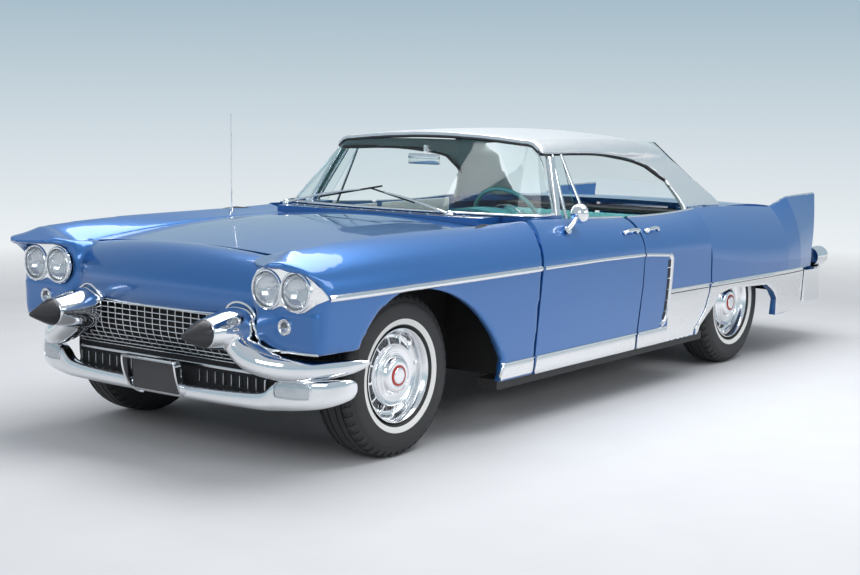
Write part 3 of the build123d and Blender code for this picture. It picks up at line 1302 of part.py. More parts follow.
COLUMN_X = 390.0
COLUMN_ANGLE = 25.0
COLUMN_RADIUS = 28.0
STEERING_RADIUS = 215.0
STEERING_TUBE = 11.0
STEERING_OFFSET = 581.0
STEERING_Y = GAP1_Y + STEERING_OFFSET
STEERING_Z = 908.0
STEERING_HUB_RADIUS = 45.0
STEERING_HUB_HEIGHT = 50.0
lean = math.radians(COLUMN_ANGLE)
column_axis = (0, math.cos(lean), math.sin(lean))
steering_plane = Plane(origin=(COLUMN_X, STEERING_Y, STEERING_Z), x_dir=(1, 0, 0), z_dir=column_axis)
column_foot = (STEERING_Y - FIREWALL_Y) / math.cos(lean) - STEERING_HUB_HEIGHT
with BuildPart() as steering_column:
    with BuildSketch(steering_plane.offset(-STEERING_HUB_HEIGHT)):
        Circle(COLUMN_RADIUS)
    extrude(amount=-column_foot)
    with BuildSketch(Plane.XZ.offset(-FIREWALL_Y)):
        with Locations((COLUMN_X, ROOF_Z / 2)):
            Rectangle(WIDTH, 2 * ROOF_Z)
    extrude(amount=LENGTH, mode=Mode.SUBTRACT)

with BuildPart() as dashboard:
    add(dash_body.part)
    with BuildSketch(steering_plane.offset(-STEERING_HUB_HEIGHT)):
        Circle(COLUMN_RADIUS + SEAT_GAP)
    extrude(amount=-column_foot, mode=Mode.SUBTRACT)
    add(steering_column.part)

with BuildPart() as steering_wheel:
    rim_way = (0, -math.sin(lean), math.cos(lean))
    with BuildSketch(Plane(origin=steering_plane.origin, x_dir=(1, 0, 0), z_dir=rim_way)):
        with Locations((STEERING_RADIUS, 0)):
            Circle(STEERING_TUBE)
    revolve(axis=Axis(steering_plane.origin, column_axis))
    with BuildSketch(steering_plane.offset(-STEERING_HUB_HEIGHT + SEAT_GAP)):
        Circle(STEERING_HUB_RADIUS)
    extrude(amount=STEERING_HUB_HEIGHT)
    with BuildSketch(steering_plane.offset(-STEERING_TUBE / 2)):
        Rectangle(2 * STEERING_RADIUS, 3 * STEERING_TUBE)
    extrude(amount=STEERING_TUBE)

SEAT_HALF = 660.0
SEAT_CUSHION = 110.0
CUSHION_BOTTOM_Z = TUNNEL_Z + 2 * FLOOR_SHEET
FRONT_SEAT_OFFSET = 640.0
FRONT_SEAT_Y = GAP1_Y + FRONT_SEAT_OFFSET
SEAT_DEPTH = 520.0
BACK_THICKNESS = 130.0
BACK_TOP_Z = 930.0
BACK_LEAN = 110.0
REAR_SEAT_OFFSET = 10.0
REAR_SEAT_Y = FLOOR_STEP_Y + REAR_SEAT_OFFSET
REAR_SEAT_DEPTH = TRUNK_STEP_Y - REAR_SEAT_Y - BACK_THICKNESS - FLOOR_SHEET


def seat_side(front_y, depth, bottom_z, thickness):
    """Bench seat solid: a cushion and a leaning back, seen from the side and drawn across."""
    top_z = bottom_z + thickness
    with BuildPart() as seat:
        with BuildSketch(Plane.YZ.offset(-SEAT_HALF)):
            Polygon(
                (front_y, bottom_z),
                (front_y, top_z),
                (front_y + depth, top_z - thickness * 0.2),
                (front_y + depth + BACK_LEAN, BACK_TOP_Z),
                (front_y + depth + BACK_LEAN + BACK_THICKNESS, BACK_TOP_Z - thickness * 0.3),
                (front_y + depth + BACK_THICKNESS, bottom_z),
                align=None,
            )
        extrude(amount=2 * SEAT_HALF)
    return seat.part


with BuildPart() as front_seat:
    add(seat_side(FRONT_SEAT_Y, SEAT_DEPTH, CUSHION_BOTTOM_Z, SEAT_CUSHION))

with BuildPart() as front_seat_base:
    with BuildSketch(Plane.XY.offset(FLOOR_Z + FLOOR_SHEET)):
        Polygon(
            (TUNNEL_HALF + 3 * FLOOR_SHEET, FRONT_SEAT_Y + FLOOR_SHEET),
            (SEAT_HALF - FLOOR_SHEET, FRONT_SEAT_Y + FLOOR_SHEET),
            (SEAT_HALF - FLOOR_SHEET, FRONT_SEAT_Y + SEAT_DEPTH),
            (TUNNEL_HALF + 3 * FLOOR_SHEET, FRONT_SEAT_Y + SEAT_DEPTH),
            align=None,
        )
        mirror(about=Plane.YZ)
    extrude(amount=CUSHION_BOTTOM_Z - FLOOR_Z - FLOOR_SHEET)

with BuildPart() as rear_seat:
    add(seat_side(REAR_SEAT_Y, REAR_SEAT_DEPTH, REAR_PAN_Z + FLOOR_SHEET, SEAT_CUSHION))
    with BuildSketch(Plane.XY.offset(REAR_PAN_Z + FLOOR_SHEET)):
        with Locations((0, TRUNK_STEP_Y - FLOOR_SHEET - SEAT_GAP)):
            Rectangle(WIDTH, BACK_LEAN, align=(Align.CENTER, Align.MIN))
    extrude(amount=TRUNK_FLOOR_Z + FLOOR_SHEET - REAR_PAN_Z - FLOOR_SHEET + SEAT_GAP, mode=Mode.SUBTRACT)

SHELF_SHEET = 20.0
SHELF_Z = 905.0
SHELF_START_Y = REAR_SEAT_Y + REAR_SEAT_DEPTH + BACK_LEAN + BACK_THICKNESS + SEAT_GAP
with BuildPart() as parcel_shelf:
    with BuildSketch(Plane.XY.offset(SHELF_Z - SHELF_SHEET)):
        with Locations((0, SHELF_START_Y)):
            shelf_length = DECK_FRONT_Y + OVERRUN - SHELF_START_Y
            Rectangle(2 * (QUARTER_INNER_X - GAP), shelf_length, align=(Align.CENTER, Align.MIN))
    extrude(amount=SHELF_SHEET)

# Front bumper: a low bar, and on each side a chrome bullet that flows out and down into a wing.
# Wing sections across the car. Columns: across (of HALF_WIDTH), centre along (mm share of WING_RUN
# behind the bullet's tip), centre height, half length, half height (shares of BULLET_RADIUS)
BULLET_X = 485.0
BULLET_Z = 608.0
BULLET_RADIUS = 98.0
BULLET_TIP_RADIUS = 60.0
CONE_LENGTH = 124.0
BULLET_LENGTH = 190.0
WING_RUN = 100.0
WING_SHARES = (
    (0.500, 3.05, 5.90, 0.95, 0.95),
    (0.600, 2.95, 5.07, 0.80, 0.70),
    (0.710, 3.15, 4.72, 0.66, 0.58),
    (0.850, 4.20, 4.58, 0.50, 0.48),
    (0.960, 5.70, 4.72, 0.22, 0.28),
)
# Bar sections across the car: a slim middle, and deep ends that hold the small lamps and turn the
# corner. Columns: across (of HALF_WIDTH), centre along, centre height, depth, height (of BAR_SIZE)
BAR_SIZE = 100.0
BAR_SHARES = (
    (0.000, 3.37, 2.95, 0.60, 0.60),
    (0.250, 3.38, 2.97, 0.60, 0.62),
    (0.450, 3.42, 3.02, 0.60, 0.66),
    (0.640, 3.53, 3.10, 0.66, 0.78),
    (0.700, 3.62, 3.45, 0.72, 1.30),
    (0.790, 3.86, 3.50, 0.80, 1.28),
    (0.870, 4.18, 3.57, 0.80, 1.22),
    (0.925, 4.55, 3.66, 0.74, 1.08),
    (0.960, 5.00, 3.76, 0.52, 0.84),
)
BAR_ROUND_SHARE = 0.35
BAR_FRONT_Y = FRONT_Y + (BAR_SHARES[0][1] - BAR_SHARES[0][3] / 2) * BAR_SIZE
BRACKET_Z = 292.0
BRACKET_LENGTH = 80.0
with BuildPart() as bumper_bar:
    for way in (1, -1):
        for x, y, z, depth, height in BAR_SHARES:
            with BuildSketch(Plane.YZ.offset(way * x * HALF_WIDTH)):
                with Locations((FRONT_Y + y * BAR_SIZE, z * BAR_SIZE)):
                    bar_round = min(depth, height) * BAR_SIZE * BAR_ROUND_SHARE
                    RectangleRounded(depth * BAR_SIZE, height * BAR_SIZE, bar_round)
        loft(ruled=True)
    # Brackets carry the bar on the frame's front ends
    with BuildSketch(Plane.XY.offset(BRACKET_Z)):
        with Locations((RAIL_X, FRAME_FRONT_Y - SEAT_GAP), (-RAIL_X, FRAME_FRONT_Y - SEAT_GAP)):
            Rectangle(RAIL_WIDTH, BRACKET_LENGTH, align=(Align.CENTER, Align.MAX))
    extrude(amount=FRAME_HEIGHT)


def bumper_wing(grow):
    """The left bullet and the wing behind it, each section larger all round by grow."""
    bullet_y = FRONT_Y + CONE_LENGTH
    reach = bullet_y + BULLET_LENGTH
    with BuildPart() as wing:
        for x, y, z, half_y, half_z in WING_SHARES:
            with BuildSketch(Plane.YZ.offset(x * HALF_WIDTH)):
                with Locations((FRONT_Y + y * WING_RUN, z * WING_RUN)):
                    Ellipse(half_y * BULLET_RADIUS + grow, half_z * BULLET_RADIUS + grow)
        loft()
        with BuildSketch(Plane.YZ.offset(BULLET_X)):
            with BuildLine():
                Line((bullet_y, BULLET_Z), (bullet_y, BULLET_Z + BULLET_TIP_RADIUS + grow))
                ThreePointArc(
                    (bullet_y, BULLET_Z + BULLET_TIP_RADIUS + grow),
                    (bullet_y + BULLET_LENGTH / 2, BULLET_Z + BULLET_RADIUS * 0.90 + grow),
                    (reach, BULLET_Z + BULLET_RADIUS + grow),
                )
                Line((reach, BULLET_Z + BULLET_RADIUS + grow), (reach + grow, BULLET_Z))
                Line((reach + grow, BULLET_Z), (bullet_y, BULLET_Z))
            make_face()
        revolve(axis=Axis((BULLET_X, 0, BULLET_Z), (0, 1, 0)))
    return wing.part


PARK_LAMP_X = 775.0
PARK_LAMP_WIDTH = 175.0
PARK_LAMP_HEIGHT = 72.0
PARK_LAMP_Z = 334.0
PARK_LAMP_BACK_OFFSET = 400.0
PARK_LAMP_BACK_Y = FRONT_Y + PARK_LAMP_BACK_OFFSET


def park_lamp_box(inset_by):
    """A block that reaches from in front of the bar to the back of its left lamp pocket."""
    with BuildPart() as block:
        with BuildSketch(Plane.XY.offset(PARK_LAMP_Z + inset_by)):
            with Locations((PARK_LAMP_X, PARK_LAMP_BACK_Y - inset_by)):
                Rectangle(
                    PARK_LAMP_WIDTH - 2 * inset_by, PARK_LAMP_BACK_OFFSET, align=(Align.CENTER, Align.MAX)
                )
        extrude(amount=PARK_LAMP_HEIGHT - 2 * inset_by)
    return block.part


bumper_wing_left = bumper_wing(0)
with BuildPart() as front_bumper:
    add(bumper_bar.part)
    add(bumper_wing_left)
    mirror(bumper_wing_left, about=Plane.YZ)
    # The bar's deep ends have a pocket for the small lamps
    add(park_lamp_box(0), mode=Mode.SUBTRACT)
    mirror(park_lamp_box(0), about=Plane.YZ, mode=Mode.SUBTRACT)

with BuildPart() as bumper_tips:
    with BuildSketch(Plane.YZ.offset(BULLET_X)):
        Polygon(
            (FRONT_Y, BULLET_Z),
            (FRONT_Y + CONE_LENGTH * 0.08, BULLET_Z + BULLET_TIP_RADIUS * 0.18),
            (FRONT_Y + CONE_LENGTH - SEAT_GAP, BULLET_Z + BULLET_TIP_RADIUS),
            (FRONT_Y + CONE_LENGTH - SEAT_GAP, BULLET_Z),
            align=None,
        )
    revolve(axis=Axis((BULLET_X, 0, BULLET_Z), (0, 1, 0)))
    mirror(about=Plane.YZ)

# Grille: an open lattice of upright and level bars
GRILLE_HALF = 440.0
GRILLE_BOTTOM_Z = 350.0
GRILLE_DEPTH = 20.0
GRILLE_BAR = 6.0
GRILLE_COLUMNS = 20
GRILLE_ROWS = 8
with BuildPart() as grille:
    pitch_x = 2 * GRILLE_HALF / GRILLE_COLUMNS
    grille_height = GRILLE_TOP_Z - SEAT_GAP - GRILLE_BOTTOM_Z
    pitch_z = (grille_height - GRILLE_BAR) / GRILLE_ROWS
    with BuildSketch(Plane.XZ.offset(-(GRILLE_Y + GRILLE_DEPTH))):
        with Locations((0, GRILLE_BOTTOM_Z + grille_height / 2)):
            with GridLocations(pitch_x, 0, GRILLE_COLUMNS + 1, 1):
                Rectangle(GRILLE_BAR, grille_height)
            with GridLocations(0, pitch_z, 1, GRILLE_ROWS + 1):
                Rectangle(2 * GRILLE_HALF, GRILLE_BAR)
    extrude(amount=GRILLE_DEPTH)

# Lamps
BEZEL_WALL = 6.0
LAMP_DEPTH = 60.0
with BuildPart() as headlamps:
    with BuildSketch(Plane.XZ.offset(-FENDER_FRONT_Y)):
        with Locations(
            (LAMP_INNER_X, LAMP_Z), (LAMP_OUTER_X, LAMP_Z), (-LAMP_INNER_X, LAMP_Z), (-LAMP_OUTER_X, LAMP_Z)
        ):
            Circle(LAMP_RADIUS + GAP / 2 - SEAT_GAP)
    extrude(amount=-LAMP_DEPTH)

RING_LAMP_RADIUS = 34.0
RING_LAMP_X = 762.0
RING_LAMP_Z = 640.0
with BuildPart() as front_small_lamps:
    with BuildSketch(Plane.XZ.offset(-FENDER_FRONT_Y + SEAT_GAP)):
        with Locations((RING_LAMP_X, RING_LAMP_Z), (-RING_LAMP_X, RING_LAMP_Z)):
            Circle(RING_LAMP_RADIUS)
    extrude(amount=BEZEL_WALL)
with BuildPart() as park_lamp:
    add(bumper_bar.part)
    add(park_lamp_box(SEAT_GAP), mode=Mode.INTERSECT)

PLATE_WIDTH = 310.0
PLATE_HEIGHT = 160.0
PLATE_SHEET = 8.0
PLATE_Z = 345.0
with BuildPart() as front_plate:
    with BuildSketch(Plane.XZ.offset(-(BAR_FRONT_Y - SEAT_GAP))):
        with Locations((0, PLATE_Z)):
            RectangleRounded(PLATE_WIDTH, PLATE_HEIGHT, PLATE_SHEET)
    extrude(amount=PLATE_SHEET)

# Rear bumper: a deep bar that wraps round to the quarter panels, with lamp pods on its ends
REAR_BAR_BOTTOM_Z = 300.0
REAR_BAR_HEIGHT = 200.0
REAR_BAR_WALL = 100.0
POD_X = 885.0
POD_Z = 560.0
POD_RADIUS = 62.0
POD_LENGTH = 150.0
POD_END_OFFSET = 130.0
POD_END_Y = REAR_Y - POD_END_OFFSET
REAR_CORNER_OFFSET = 120.0
REAR_CORNER_Y = REAR_Y - REAR_CORNER_OFFSET
with BuildPart() as rear_bumper:
    with BuildSketch(Plane.XY.offset(REAR_BAR_BOTTOM_Z)):
        side_x = HALF_WIDTH * 0.975
        side_start = BUMPER_SIDE_Y + GAP
        corner = (side_x * 0.90, REAR_CORNER_Y)
        inner_corner = (side_x * 0.85, REAR_CORNER_Y - REAR_BAR_WALL)
        flank = (side_x * 0.985, along(side_start, REAR_CORNER_Y, 0.65))
        with BuildLine():
            ThreePointArc(corner, (0, REAR_Y), (-corner[0], corner[1]))
            ThreePointArc(inner_corner, (0, REAR_Y - REAR_BAR_WALL), (-inner_corner[0], inner_corner[1]))
            for way in (1, -1):
                bar_corner = (way * corner[0], corner[1])
                ThreePointArc((way * side_x, side_start), (way * flank[0], flank[1]), bar_corner)
                Polyline(
                    (way * inner_corner[0], inner_corner[1]),
                    (way * (side_x - REAR_BAR_WALL), side_start),
                    (way * side_x, side_start),
                )
        make_face()
    extrude(amount=REAR_BAR_HEIGHT)
    with BuildSketch(Plane.XZ.offset(-POD_END_Y)):
        with Locations((POD_X, POD_Z), (-POD_X, POD_Z)):
            Circle(POD_RADIUS)
    extrude(amount=POD_LENGTH)
    with BuildSketch(Plane.XY.offset(REAR_RAIL_Z)):
        with Locations((REAR_RAIL_X, FRAME_REAR_Y + SEAT_GAP), (-REAR_RAIL_X, FRAME_REAR_Y + SEAT_GAP)):
            Rectangle(RAIL_WIDTH, REAR_Y - FRAME_REAR_Y - REAR_BAR_WALL, align=(Align.CENTER, Align.MIN))
    extrude(amount=REAR_BAR_BOTTOM_Z + REAR_BAR_HEIGHT - REAR_RAIL_Z)

with BuildPart() as tail_lamps:
    with BuildSketch(Plane.XZ.offset(-(POD_END_Y + SEAT_GAP))):
        with Locations((POD_X, POD_Z), (-POD_X, POD_Z)):
            Circle(POD_RADIUS * 0.8)
    extrude(amount=-BEZEL_WALL * 3)

# Wipers and antenna
WIPER_RADIUS = 6.0
WIPER_LENGTH = 380.0
PIVOT_X = 260.0
PIVOT_OFFSET = 30.0
PIVOT_Y = SCREEN_BASE_Y - PIVOT_OFFSET
with BuildPart() as wipers:
    with BuildSketch(Plane.XY.offset(COWL_Z + SEAT_GAP)):
        with Locations((PIVOT_X, PIVOT_Y), (-PIVOT_X, PIVOT_Y)):
            Circle(WIPER_RADIUS * 3)
    extrude(amount=WIPER_RADIUS * 4)

ANTENNA_RADIUS = 4.0
ANTENNA_BASE_RADIUS = 12.0
ANTENNA_X = 760.0
ANTENNA_OFFSET = 600.0
ANTENNA_Y = FRONT_AXLE_Y + ANTENNA_OFFSET
ANTENNA_TOP_Z = 1485.0
with BuildPart() as antenna:
    foot_z = CREST_Z - FENDER_WALL
    with BuildSketch(Plane.XY.offset(foot_z)):
        with Locations((-ANTENNA_X, ANTENNA_Y)):
            Circle(ANTENNA_RADIUS)
    extrude(amount=ANTENNA_TOP_Z - foot_z)
    with BuildSketch(Plane.XY.offset(foot_z)):
        with Locations((-ANTENNA_X, ANTENNA_Y)):
            Circle(ANTENNA_BASE_RADIUS)
    extrude(amount=FENDER_WALL + ANTENNA_RADIUS)
    with Locations((0, 0, SEAT_GAP)):
        add(fender_left.part.mirror(Plane.YZ), mode=Mode.SUBTRACT)

# Pieces that share a node: like pieces on both sides, and sheet metal that is welded up as one
wing_room = bumper_wing(GAP)
with BuildPart() as fender_round_bumper:
    add(fender_left.part)
    add(wing_room, mode=Mode.SUBTRACT)

with BuildPart() as front_fenders:
    add(fender_round_bumper.part)
    mirror(fender_round_bumper.part, about=Plane.YZ)

with BuildPart() as nose_round_bumper:
    add(nose_panel.part)
    add(wing_room, mode=Mode.SUBTRACT)
    mirror(wing_room, about=Plane.YZ, mode=Mode.SUBTRACT)

with BuildPart() as quarter_with_wall:
    add(quarter_panel_left.part)
    add(fin_wall_left.part)

with BuildPart() as quarter_panels:
    add(quarter_with_wall.part)
    mirror(quarter_with_wall.part, about=Plane.YZ)

with BuildPart() as underbody:
    add(floor_pan.part)
    add(sills.part)
    add(firewall.part)
    add(inner_fenders.part)
    add(fuel_tank.part)
    add(parcel_shelf.part)

with BuildPart() as rear_axle_and_shaft:
    add(rear_axle_with_pinion.part)
    add(driveshaft.part)

with BuildPart() as window_glass:
    add(windshield.part)
    add(rear_window.part)

with BuildPart() as front_lamps:
    add(headlamps.part)
    add(front_small_lamps.part)
    add(park_lamp.part)
    mirror(park_lamp.part, about=Plane.YZ)

with BuildPart() as grille_round_bumper:
    add(grille.part)
    add(wing_room, mode=Mode.SUBTRACT)
    mirror(wing_room, about=Plane.YZ, mode=Mode.SUBTRACT)

with BuildPart() as rear_deck:
    add(deck_panel.part)
    add(rear_panel.part)

with BuildPart() as front_seat_on_base:
    add(front_seat.part)
    add(front_seat_base.part)

# Every piece with its name. Left-hand pieces are mirrored to the right.
OUT = "parts"
SINGLES = {
    "front_fenders": front_fenders.part,
    "quarter_panels": quarter_panels.part,
    "hood": hood.part,
    "nose_panel": nose_round_bumper.part,
    "cowl_panel": cowl_panel.part,
    "roof": roof.part,
    "window_glass": window_glass.part,
    "windshield_frame": windshield_frame.part,
    "rear_deck": rear_deck.part,
    "trunk_lid": trunk_lid.part,
    "front_bumper": front_bumper.part,
    "bumper_tips": bumper_tips.part,
    "rear_bumper": rear_bumper.part,
    "grille": grille_round_bumper.part,
    "front_lamps": front_lamps.part,
    "tail_lamps": tail_lamps.part,
    "front_plate": front_plate.part,
    "wipers": wipers.part,
    "antenna": antenna.part,
    "dashboard": dashboard.part,
    "steering_wheel": steering_wheel.part,
    "front_seat": front_seat_on_base.part,
    "rear_seat": rear_seat.part,
    "underbody": underbody.part,
    "chassis_frame": chassis_frame.part,
    "front_suspension": front_suspension.part,
    "rear_axle": rear_axle_and_shaft.part,
    "engine_block": engine_block.part,
    "radiator": radiator.part,
}
PAIRS = {
    "door_front": door_front_left.part,
    "door_rear": door_rear_left.part,
    "vent_window": vent_window_left.part,
    "knuckle": knuckle_left.part,
    "tyre_front": tyre_at(FRONT_AXLE_Y),
    "tyre_rear": tyre_at(REAR_AXLE_Y),
    "wheel_front": wheel_at(FRONT_AXLE_Y),
    "wheel_rear": wheel_at(REAR_AXLE_Y),
}

pieces = dict(SINGLES)
for name, left in PAIRS.items():
    with BuildPart() as right:
        mirror(left, about=Plane.YZ)
    pieces[name + "_left"] = left
    pieces[name + "_right"] = right.part

os.makedirs(OUT, exist_ok=True)
for name, piece in pieces.items():
    piece.label = name
    export_step(piece, os.path.join(OUT, name + ".step"))
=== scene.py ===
# %% [markdown]
# # A blue four-door hardtop of the late 1950s
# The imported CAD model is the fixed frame. Everything here is in metres, in the same frame: the car's
# front faces -Y, the driver's side is +X, and the floor is at Z = 0.

# %% Load the frame
import json
import math

import bmesh
import bpy
from mathutils import Matrix, Vector
from mathutils.bvhtree import BVHTree


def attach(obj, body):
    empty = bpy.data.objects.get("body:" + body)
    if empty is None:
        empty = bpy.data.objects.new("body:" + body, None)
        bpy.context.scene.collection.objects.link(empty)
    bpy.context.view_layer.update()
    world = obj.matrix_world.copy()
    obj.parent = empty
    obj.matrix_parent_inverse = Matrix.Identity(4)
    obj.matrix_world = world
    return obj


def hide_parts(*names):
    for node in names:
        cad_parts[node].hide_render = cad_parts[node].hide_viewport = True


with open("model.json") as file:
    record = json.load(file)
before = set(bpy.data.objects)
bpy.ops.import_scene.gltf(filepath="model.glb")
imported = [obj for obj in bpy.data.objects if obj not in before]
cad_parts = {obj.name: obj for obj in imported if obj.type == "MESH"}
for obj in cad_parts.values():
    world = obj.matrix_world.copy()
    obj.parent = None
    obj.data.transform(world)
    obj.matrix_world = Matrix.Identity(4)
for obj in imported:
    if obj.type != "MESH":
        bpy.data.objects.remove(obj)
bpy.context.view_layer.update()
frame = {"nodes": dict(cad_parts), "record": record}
NODES = frame["nodes"]

# %% [markdown]
# ## The camera
# The camera stands at the photograph's viewpoint, solved from the wheels, lamps and gaps. Its frame is
# 860 by 575 pixels, and its focal length is given in those pixels.

# %% Camera
CAMERA_PLACE = Vector((4.9944, -6.9645, 1.587))
YAW, PITCH, ROLL = (math.radians(a) for a in (37.5565, 7.1682, 0.5445))
FOCAL_PIXELS = 1525.09
SENSOR = 36.0
IMAGE_WIDTH = 860.0


def camera_axes():
    """Right, up and back of the camera in the car's frame."""
    back = Vector((math.sin(YAW) * math.cos(PITCH), -math.cos(YAW) * math.cos(PITCH), math.sin(PITCH)))
    level_right = Vector((math.cos(YAW), math.sin(YAW), 0.0))
    level_up = back.cross(level_right)
    right = level_right * math.cos(ROLL) + level_up * math.sin(ROLL)
    up = level_up * math.cos(ROLL) - level_right * math.sin(ROLL)
    return right, up, back


camera_data = bpy.data.cameras.new("camera")
camera_data.sensor_width = SENSOR
camera_data.lens = FOCAL_PIXELS / IMAGE_WIDTH * SENSOR
camera_data.clip_end = 200.0
camera = bpy.data.objects.new("camera", camera_data)
camera.matrix_world = Matrix.Translation(CAMERA_PLACE) @ Matrix(camera_axes()).transposed().to_4x4()
bpy.context.scene.collection.objects.link(camera)
bpy.context.scene.camera = camera
bpy.context.scene.view_settings.view_transform = "Standard"
print("lens", round(camera_data.lens, 2), "mm")

# %% [markdown]
# ## Node helpers
# Finishes and the room are built from shader nodes. These helpers make one node with its inputs, a
# noise, a mix of two colours and a bump, so that each finish below reads as a short recipe.


# %% Node helpers
def new_material(name):
    """An empty node material with its output and a Principled shader."""
    material = bpy.data.materials.new(name)
    material.use_nodes = True
    tree = material.node_tree
    tree.nodes.clear()
    output = tree.nodes.new("ShaderNodeOutputMaterial")
    shader = tree.nodes.new("ShaderNodeBsdfPrincipled")
    tree.links.new(shader.outputs[0], output.inputs[0])
    return material, tree, shader


def node(tree, kind, inputs=None, **settings):
    """One node with its settings, and its inputs as values or as sockets to link from."""
    made = tree.nodes.new(kind)
    for key, value in settings.items():
        setattr(made, key, value)
    for key, value in (inputs or {}).items():
        if isinstance(value, bpy.types.NodeSocket):
            tree.links.new(value, made.inputs[key])
        else:
            made.inputs[key].default_value = value
    return made


def noise(tree, scale, detail=3.0, stretch=(1.0, 1.0, 1.0)):
    """Noise on Object coordinates, squeezed along an axis where the finish is brushed or woven."""
    place = node(tree, "ShaderNodeTexCoord")
    mapping = node(tree, "ShaderNodeMapping", {"Vector": place.outputs["Object"], "Scale": stretch})
    texture = node(
        tree, "ShaderNodeTexNoise", {"Vector": mapping.outputs[0], "Scale": scale, "Detail": detail}
    )
    return texture.outputs["Fac"]


def between(tree, factor, low, high):
    """A number that runs from low to high with the factor."""
    return node(tree, "ShaderNodeMapRange", {"Value": factor, "To Min": low, "To Max": high}).outputs[0]


def blend_colours(tree, factor, first, second):
    """Two colours mixed by the factor."""
    mix = node(tree, "ShaderNodeMix", data_type="RGBA")
    tree.links.new(factor, mix.inputs[0])
    for socket, colour in ((mix.inputs[6], first), (mix.inputs[7], second)):
        if isinstance(colour, bpy.types.NodeSocket):
            tree.links.new(colour, socket)
        else:
            socket.default_value = (*colour, 1.0)
    return mix.outputs[2]


def bump(tree, shader, height, strength, distance):
    """A bump from a height socket, joined to the shader."""
    made = node(tree, "ShaderNodeBump", {"Height": height, "Strength": strength, "Distance": distance})
    tree.links.new(made.outputs[0], shader.inputs["Normal"])
    return made


# %% [markdown]
# ## Studio
# The car reflects its room, so the room is made first: a pale gradient all round, one large soft box
# overhead and two smaller ones. The gradient is in the world, so that metal and glass show it too, and
# plain pale light reaches the rest. The floor fades out before its edge would show.

# %% World and floor
SKY_LOW = (0.91, 0.935, 0.95)
SKY_HIGH = (0.39, 0.515, 0.595)
SKY_TOP = (0.50, 0.55, 0.60)
FLOOR_RADIUS = 9.0

world = bpy.data.worlds.new("studio")
bpy.context.scene.world = world
world.use_nodes = True
sky = world.node_tree
sky.nodes.clear()
direction = node(sky, "ShaderNodeTexCoord").outputs["Generated"]
height = node(sky, "ShaderNodeSeparateXYZ", {"Vector": direction}).outputs["Z"]
level = node(sky, "ShaderNodeMapRange", {"Value": height, "From Min": -1.0, "From Max": 1.0}).outputs[0]
ramp = node(sky, "ShaderNodeValToRGB", {"Fac": level})
ramp.color_ramp.elements[0].position = 0.44
ramp.color_ramp.elements[0].color = (*SKY_LOW, 1.0)
ramp.color_ramp.elements[1].position = 0.53
ramp.color_ramp.elements[1].color = (*SKY_HIGH, 1.0)
top = ramp.color_ramp.elements.new(0.95)
top.color = (*SKY_TOP, 1.0)
seen = node(sky, "ShaderNodeBackground", {"Color": ramp.outputs[0], "Strength": 1.0})
light = node(sky, "ShaderNodeBackground", {"Color": (0.92, 0.96, 1.0, 1.0), "Strength": 0.55})
rays = node(sky, "ShaderNodeLightPath")
shown = rays.outputs["Is Camera Ray"]
for kind in ("Is Glossy Ray", "Is Transmission Ray"):
    shown = node(sky, "ShaderNodeMath", {0: shown, 1: rays.outputs[kind]}, operation="MAXIMUM").outputs[0]
world_mix = node(sky, "ShaderNodeMixShader", {0: shown, 1: light.outputs[0], 2: seen.outputs[0]})
node(sky, "ShaderNodeOutputWorld", {"Surface": world_mix.outputs[0]})


def floor_material():
    """Pale studio floor with faint scuffs, which fades into the gradient with distance."""
    material, tree, shader = new_material("studio_floor")
    scuffs = noise(tree, 3.0, 6.0)
    shader.inputs["Roughness"].default_value = 0.75
    tree.links.new(
        blend_colours(tree, scuffs, (0.60, 0.61, 0.63), (0.65, 0.66, 0.68)), shader.inputs["Base Color"]
    )
    place = node(tree, "ShaderNodeTexCoord").outputs["Object"]
    distance = node(tree, "ShaderNodeVectorMath", {0: place}, operation="LENGTH").outputs["Value"]
    fade = node(
        tree, "ShaderNodeMapRange", {"Value": distance, "From Min": 4.6, "From Max": FLOOR_RADIUS - 0.5}
    )
    clear = node(tree, "ShaderNodeBsdfTransparent")
    mix = node(tree, "ShaderNodeMixShader", {0: fade.outputs[0], 1: shader.outputs[0], 2: clear.outputs[0]})
    output = [n for n in tree.nodes if n.type == "OUTPUT_MATERIAL"][0]
    tree.links.new(mix.outputs[0], output.inputs[0])
    return material


floor_bm = bmesh.new()
bmesh.ops.create_circle(floor_bm, cap_ends=True, radius=FLOOR_RADIUS, segments=96)
floor_mesh = bpy.data.meshes.new("floor")
floor_bm.to_mesh(floor_mesh)
floor_bm.free()
floor = bpy.data.objects.new("floor", floor_mesh)
floor_mesh.materials.append(floor_material())
bpy.context.scene.collection.objects.link(floor)


def soft_box(name, place, target, size, power):
    """One rectangular area light that faces a point."""
    lamp = bpy.data.lights.new(name, "AREA")
    lamp.shape = "RECTANGLE"
    lamp.size, lamp.size_y = size
    lamp.energy = power
    holder = bpy.data.objects.new(name, lamp)
    way = Vector(place) - Vector(target)
    holder.matrix_world = Matrix.Translation(place) @ way.to_track_quat("Z", "Y").to_matrix().to_4x4()
    bpy.context.scene.collection.objects.link(holder)


soft_box("soft_box_overhead", (0.6, 0.2, 5.2), (0.0, 0.2, 0.0), (3.2, 6.5), 340.0)
soft_box("soft_box_front", (3.0, -7.5, 3.6), (0.0, -1.0, 0.6), (3.0, 2.0), 105.0)
soft_box("soft_box_side", (7.5, 0.5, 3.0), (0.9, 0.0, 0.6), (5.0, 1.6), 95.0)
print("lights", len(bpy.data.lights))

# %% [markdown]
# ## Finishes
# Each finish is one procedural material. The metallic paint has a clear coat over fine flakes, the
# roof is steel brushed along the car, and the bright trim is chrome with faint wiping marks.


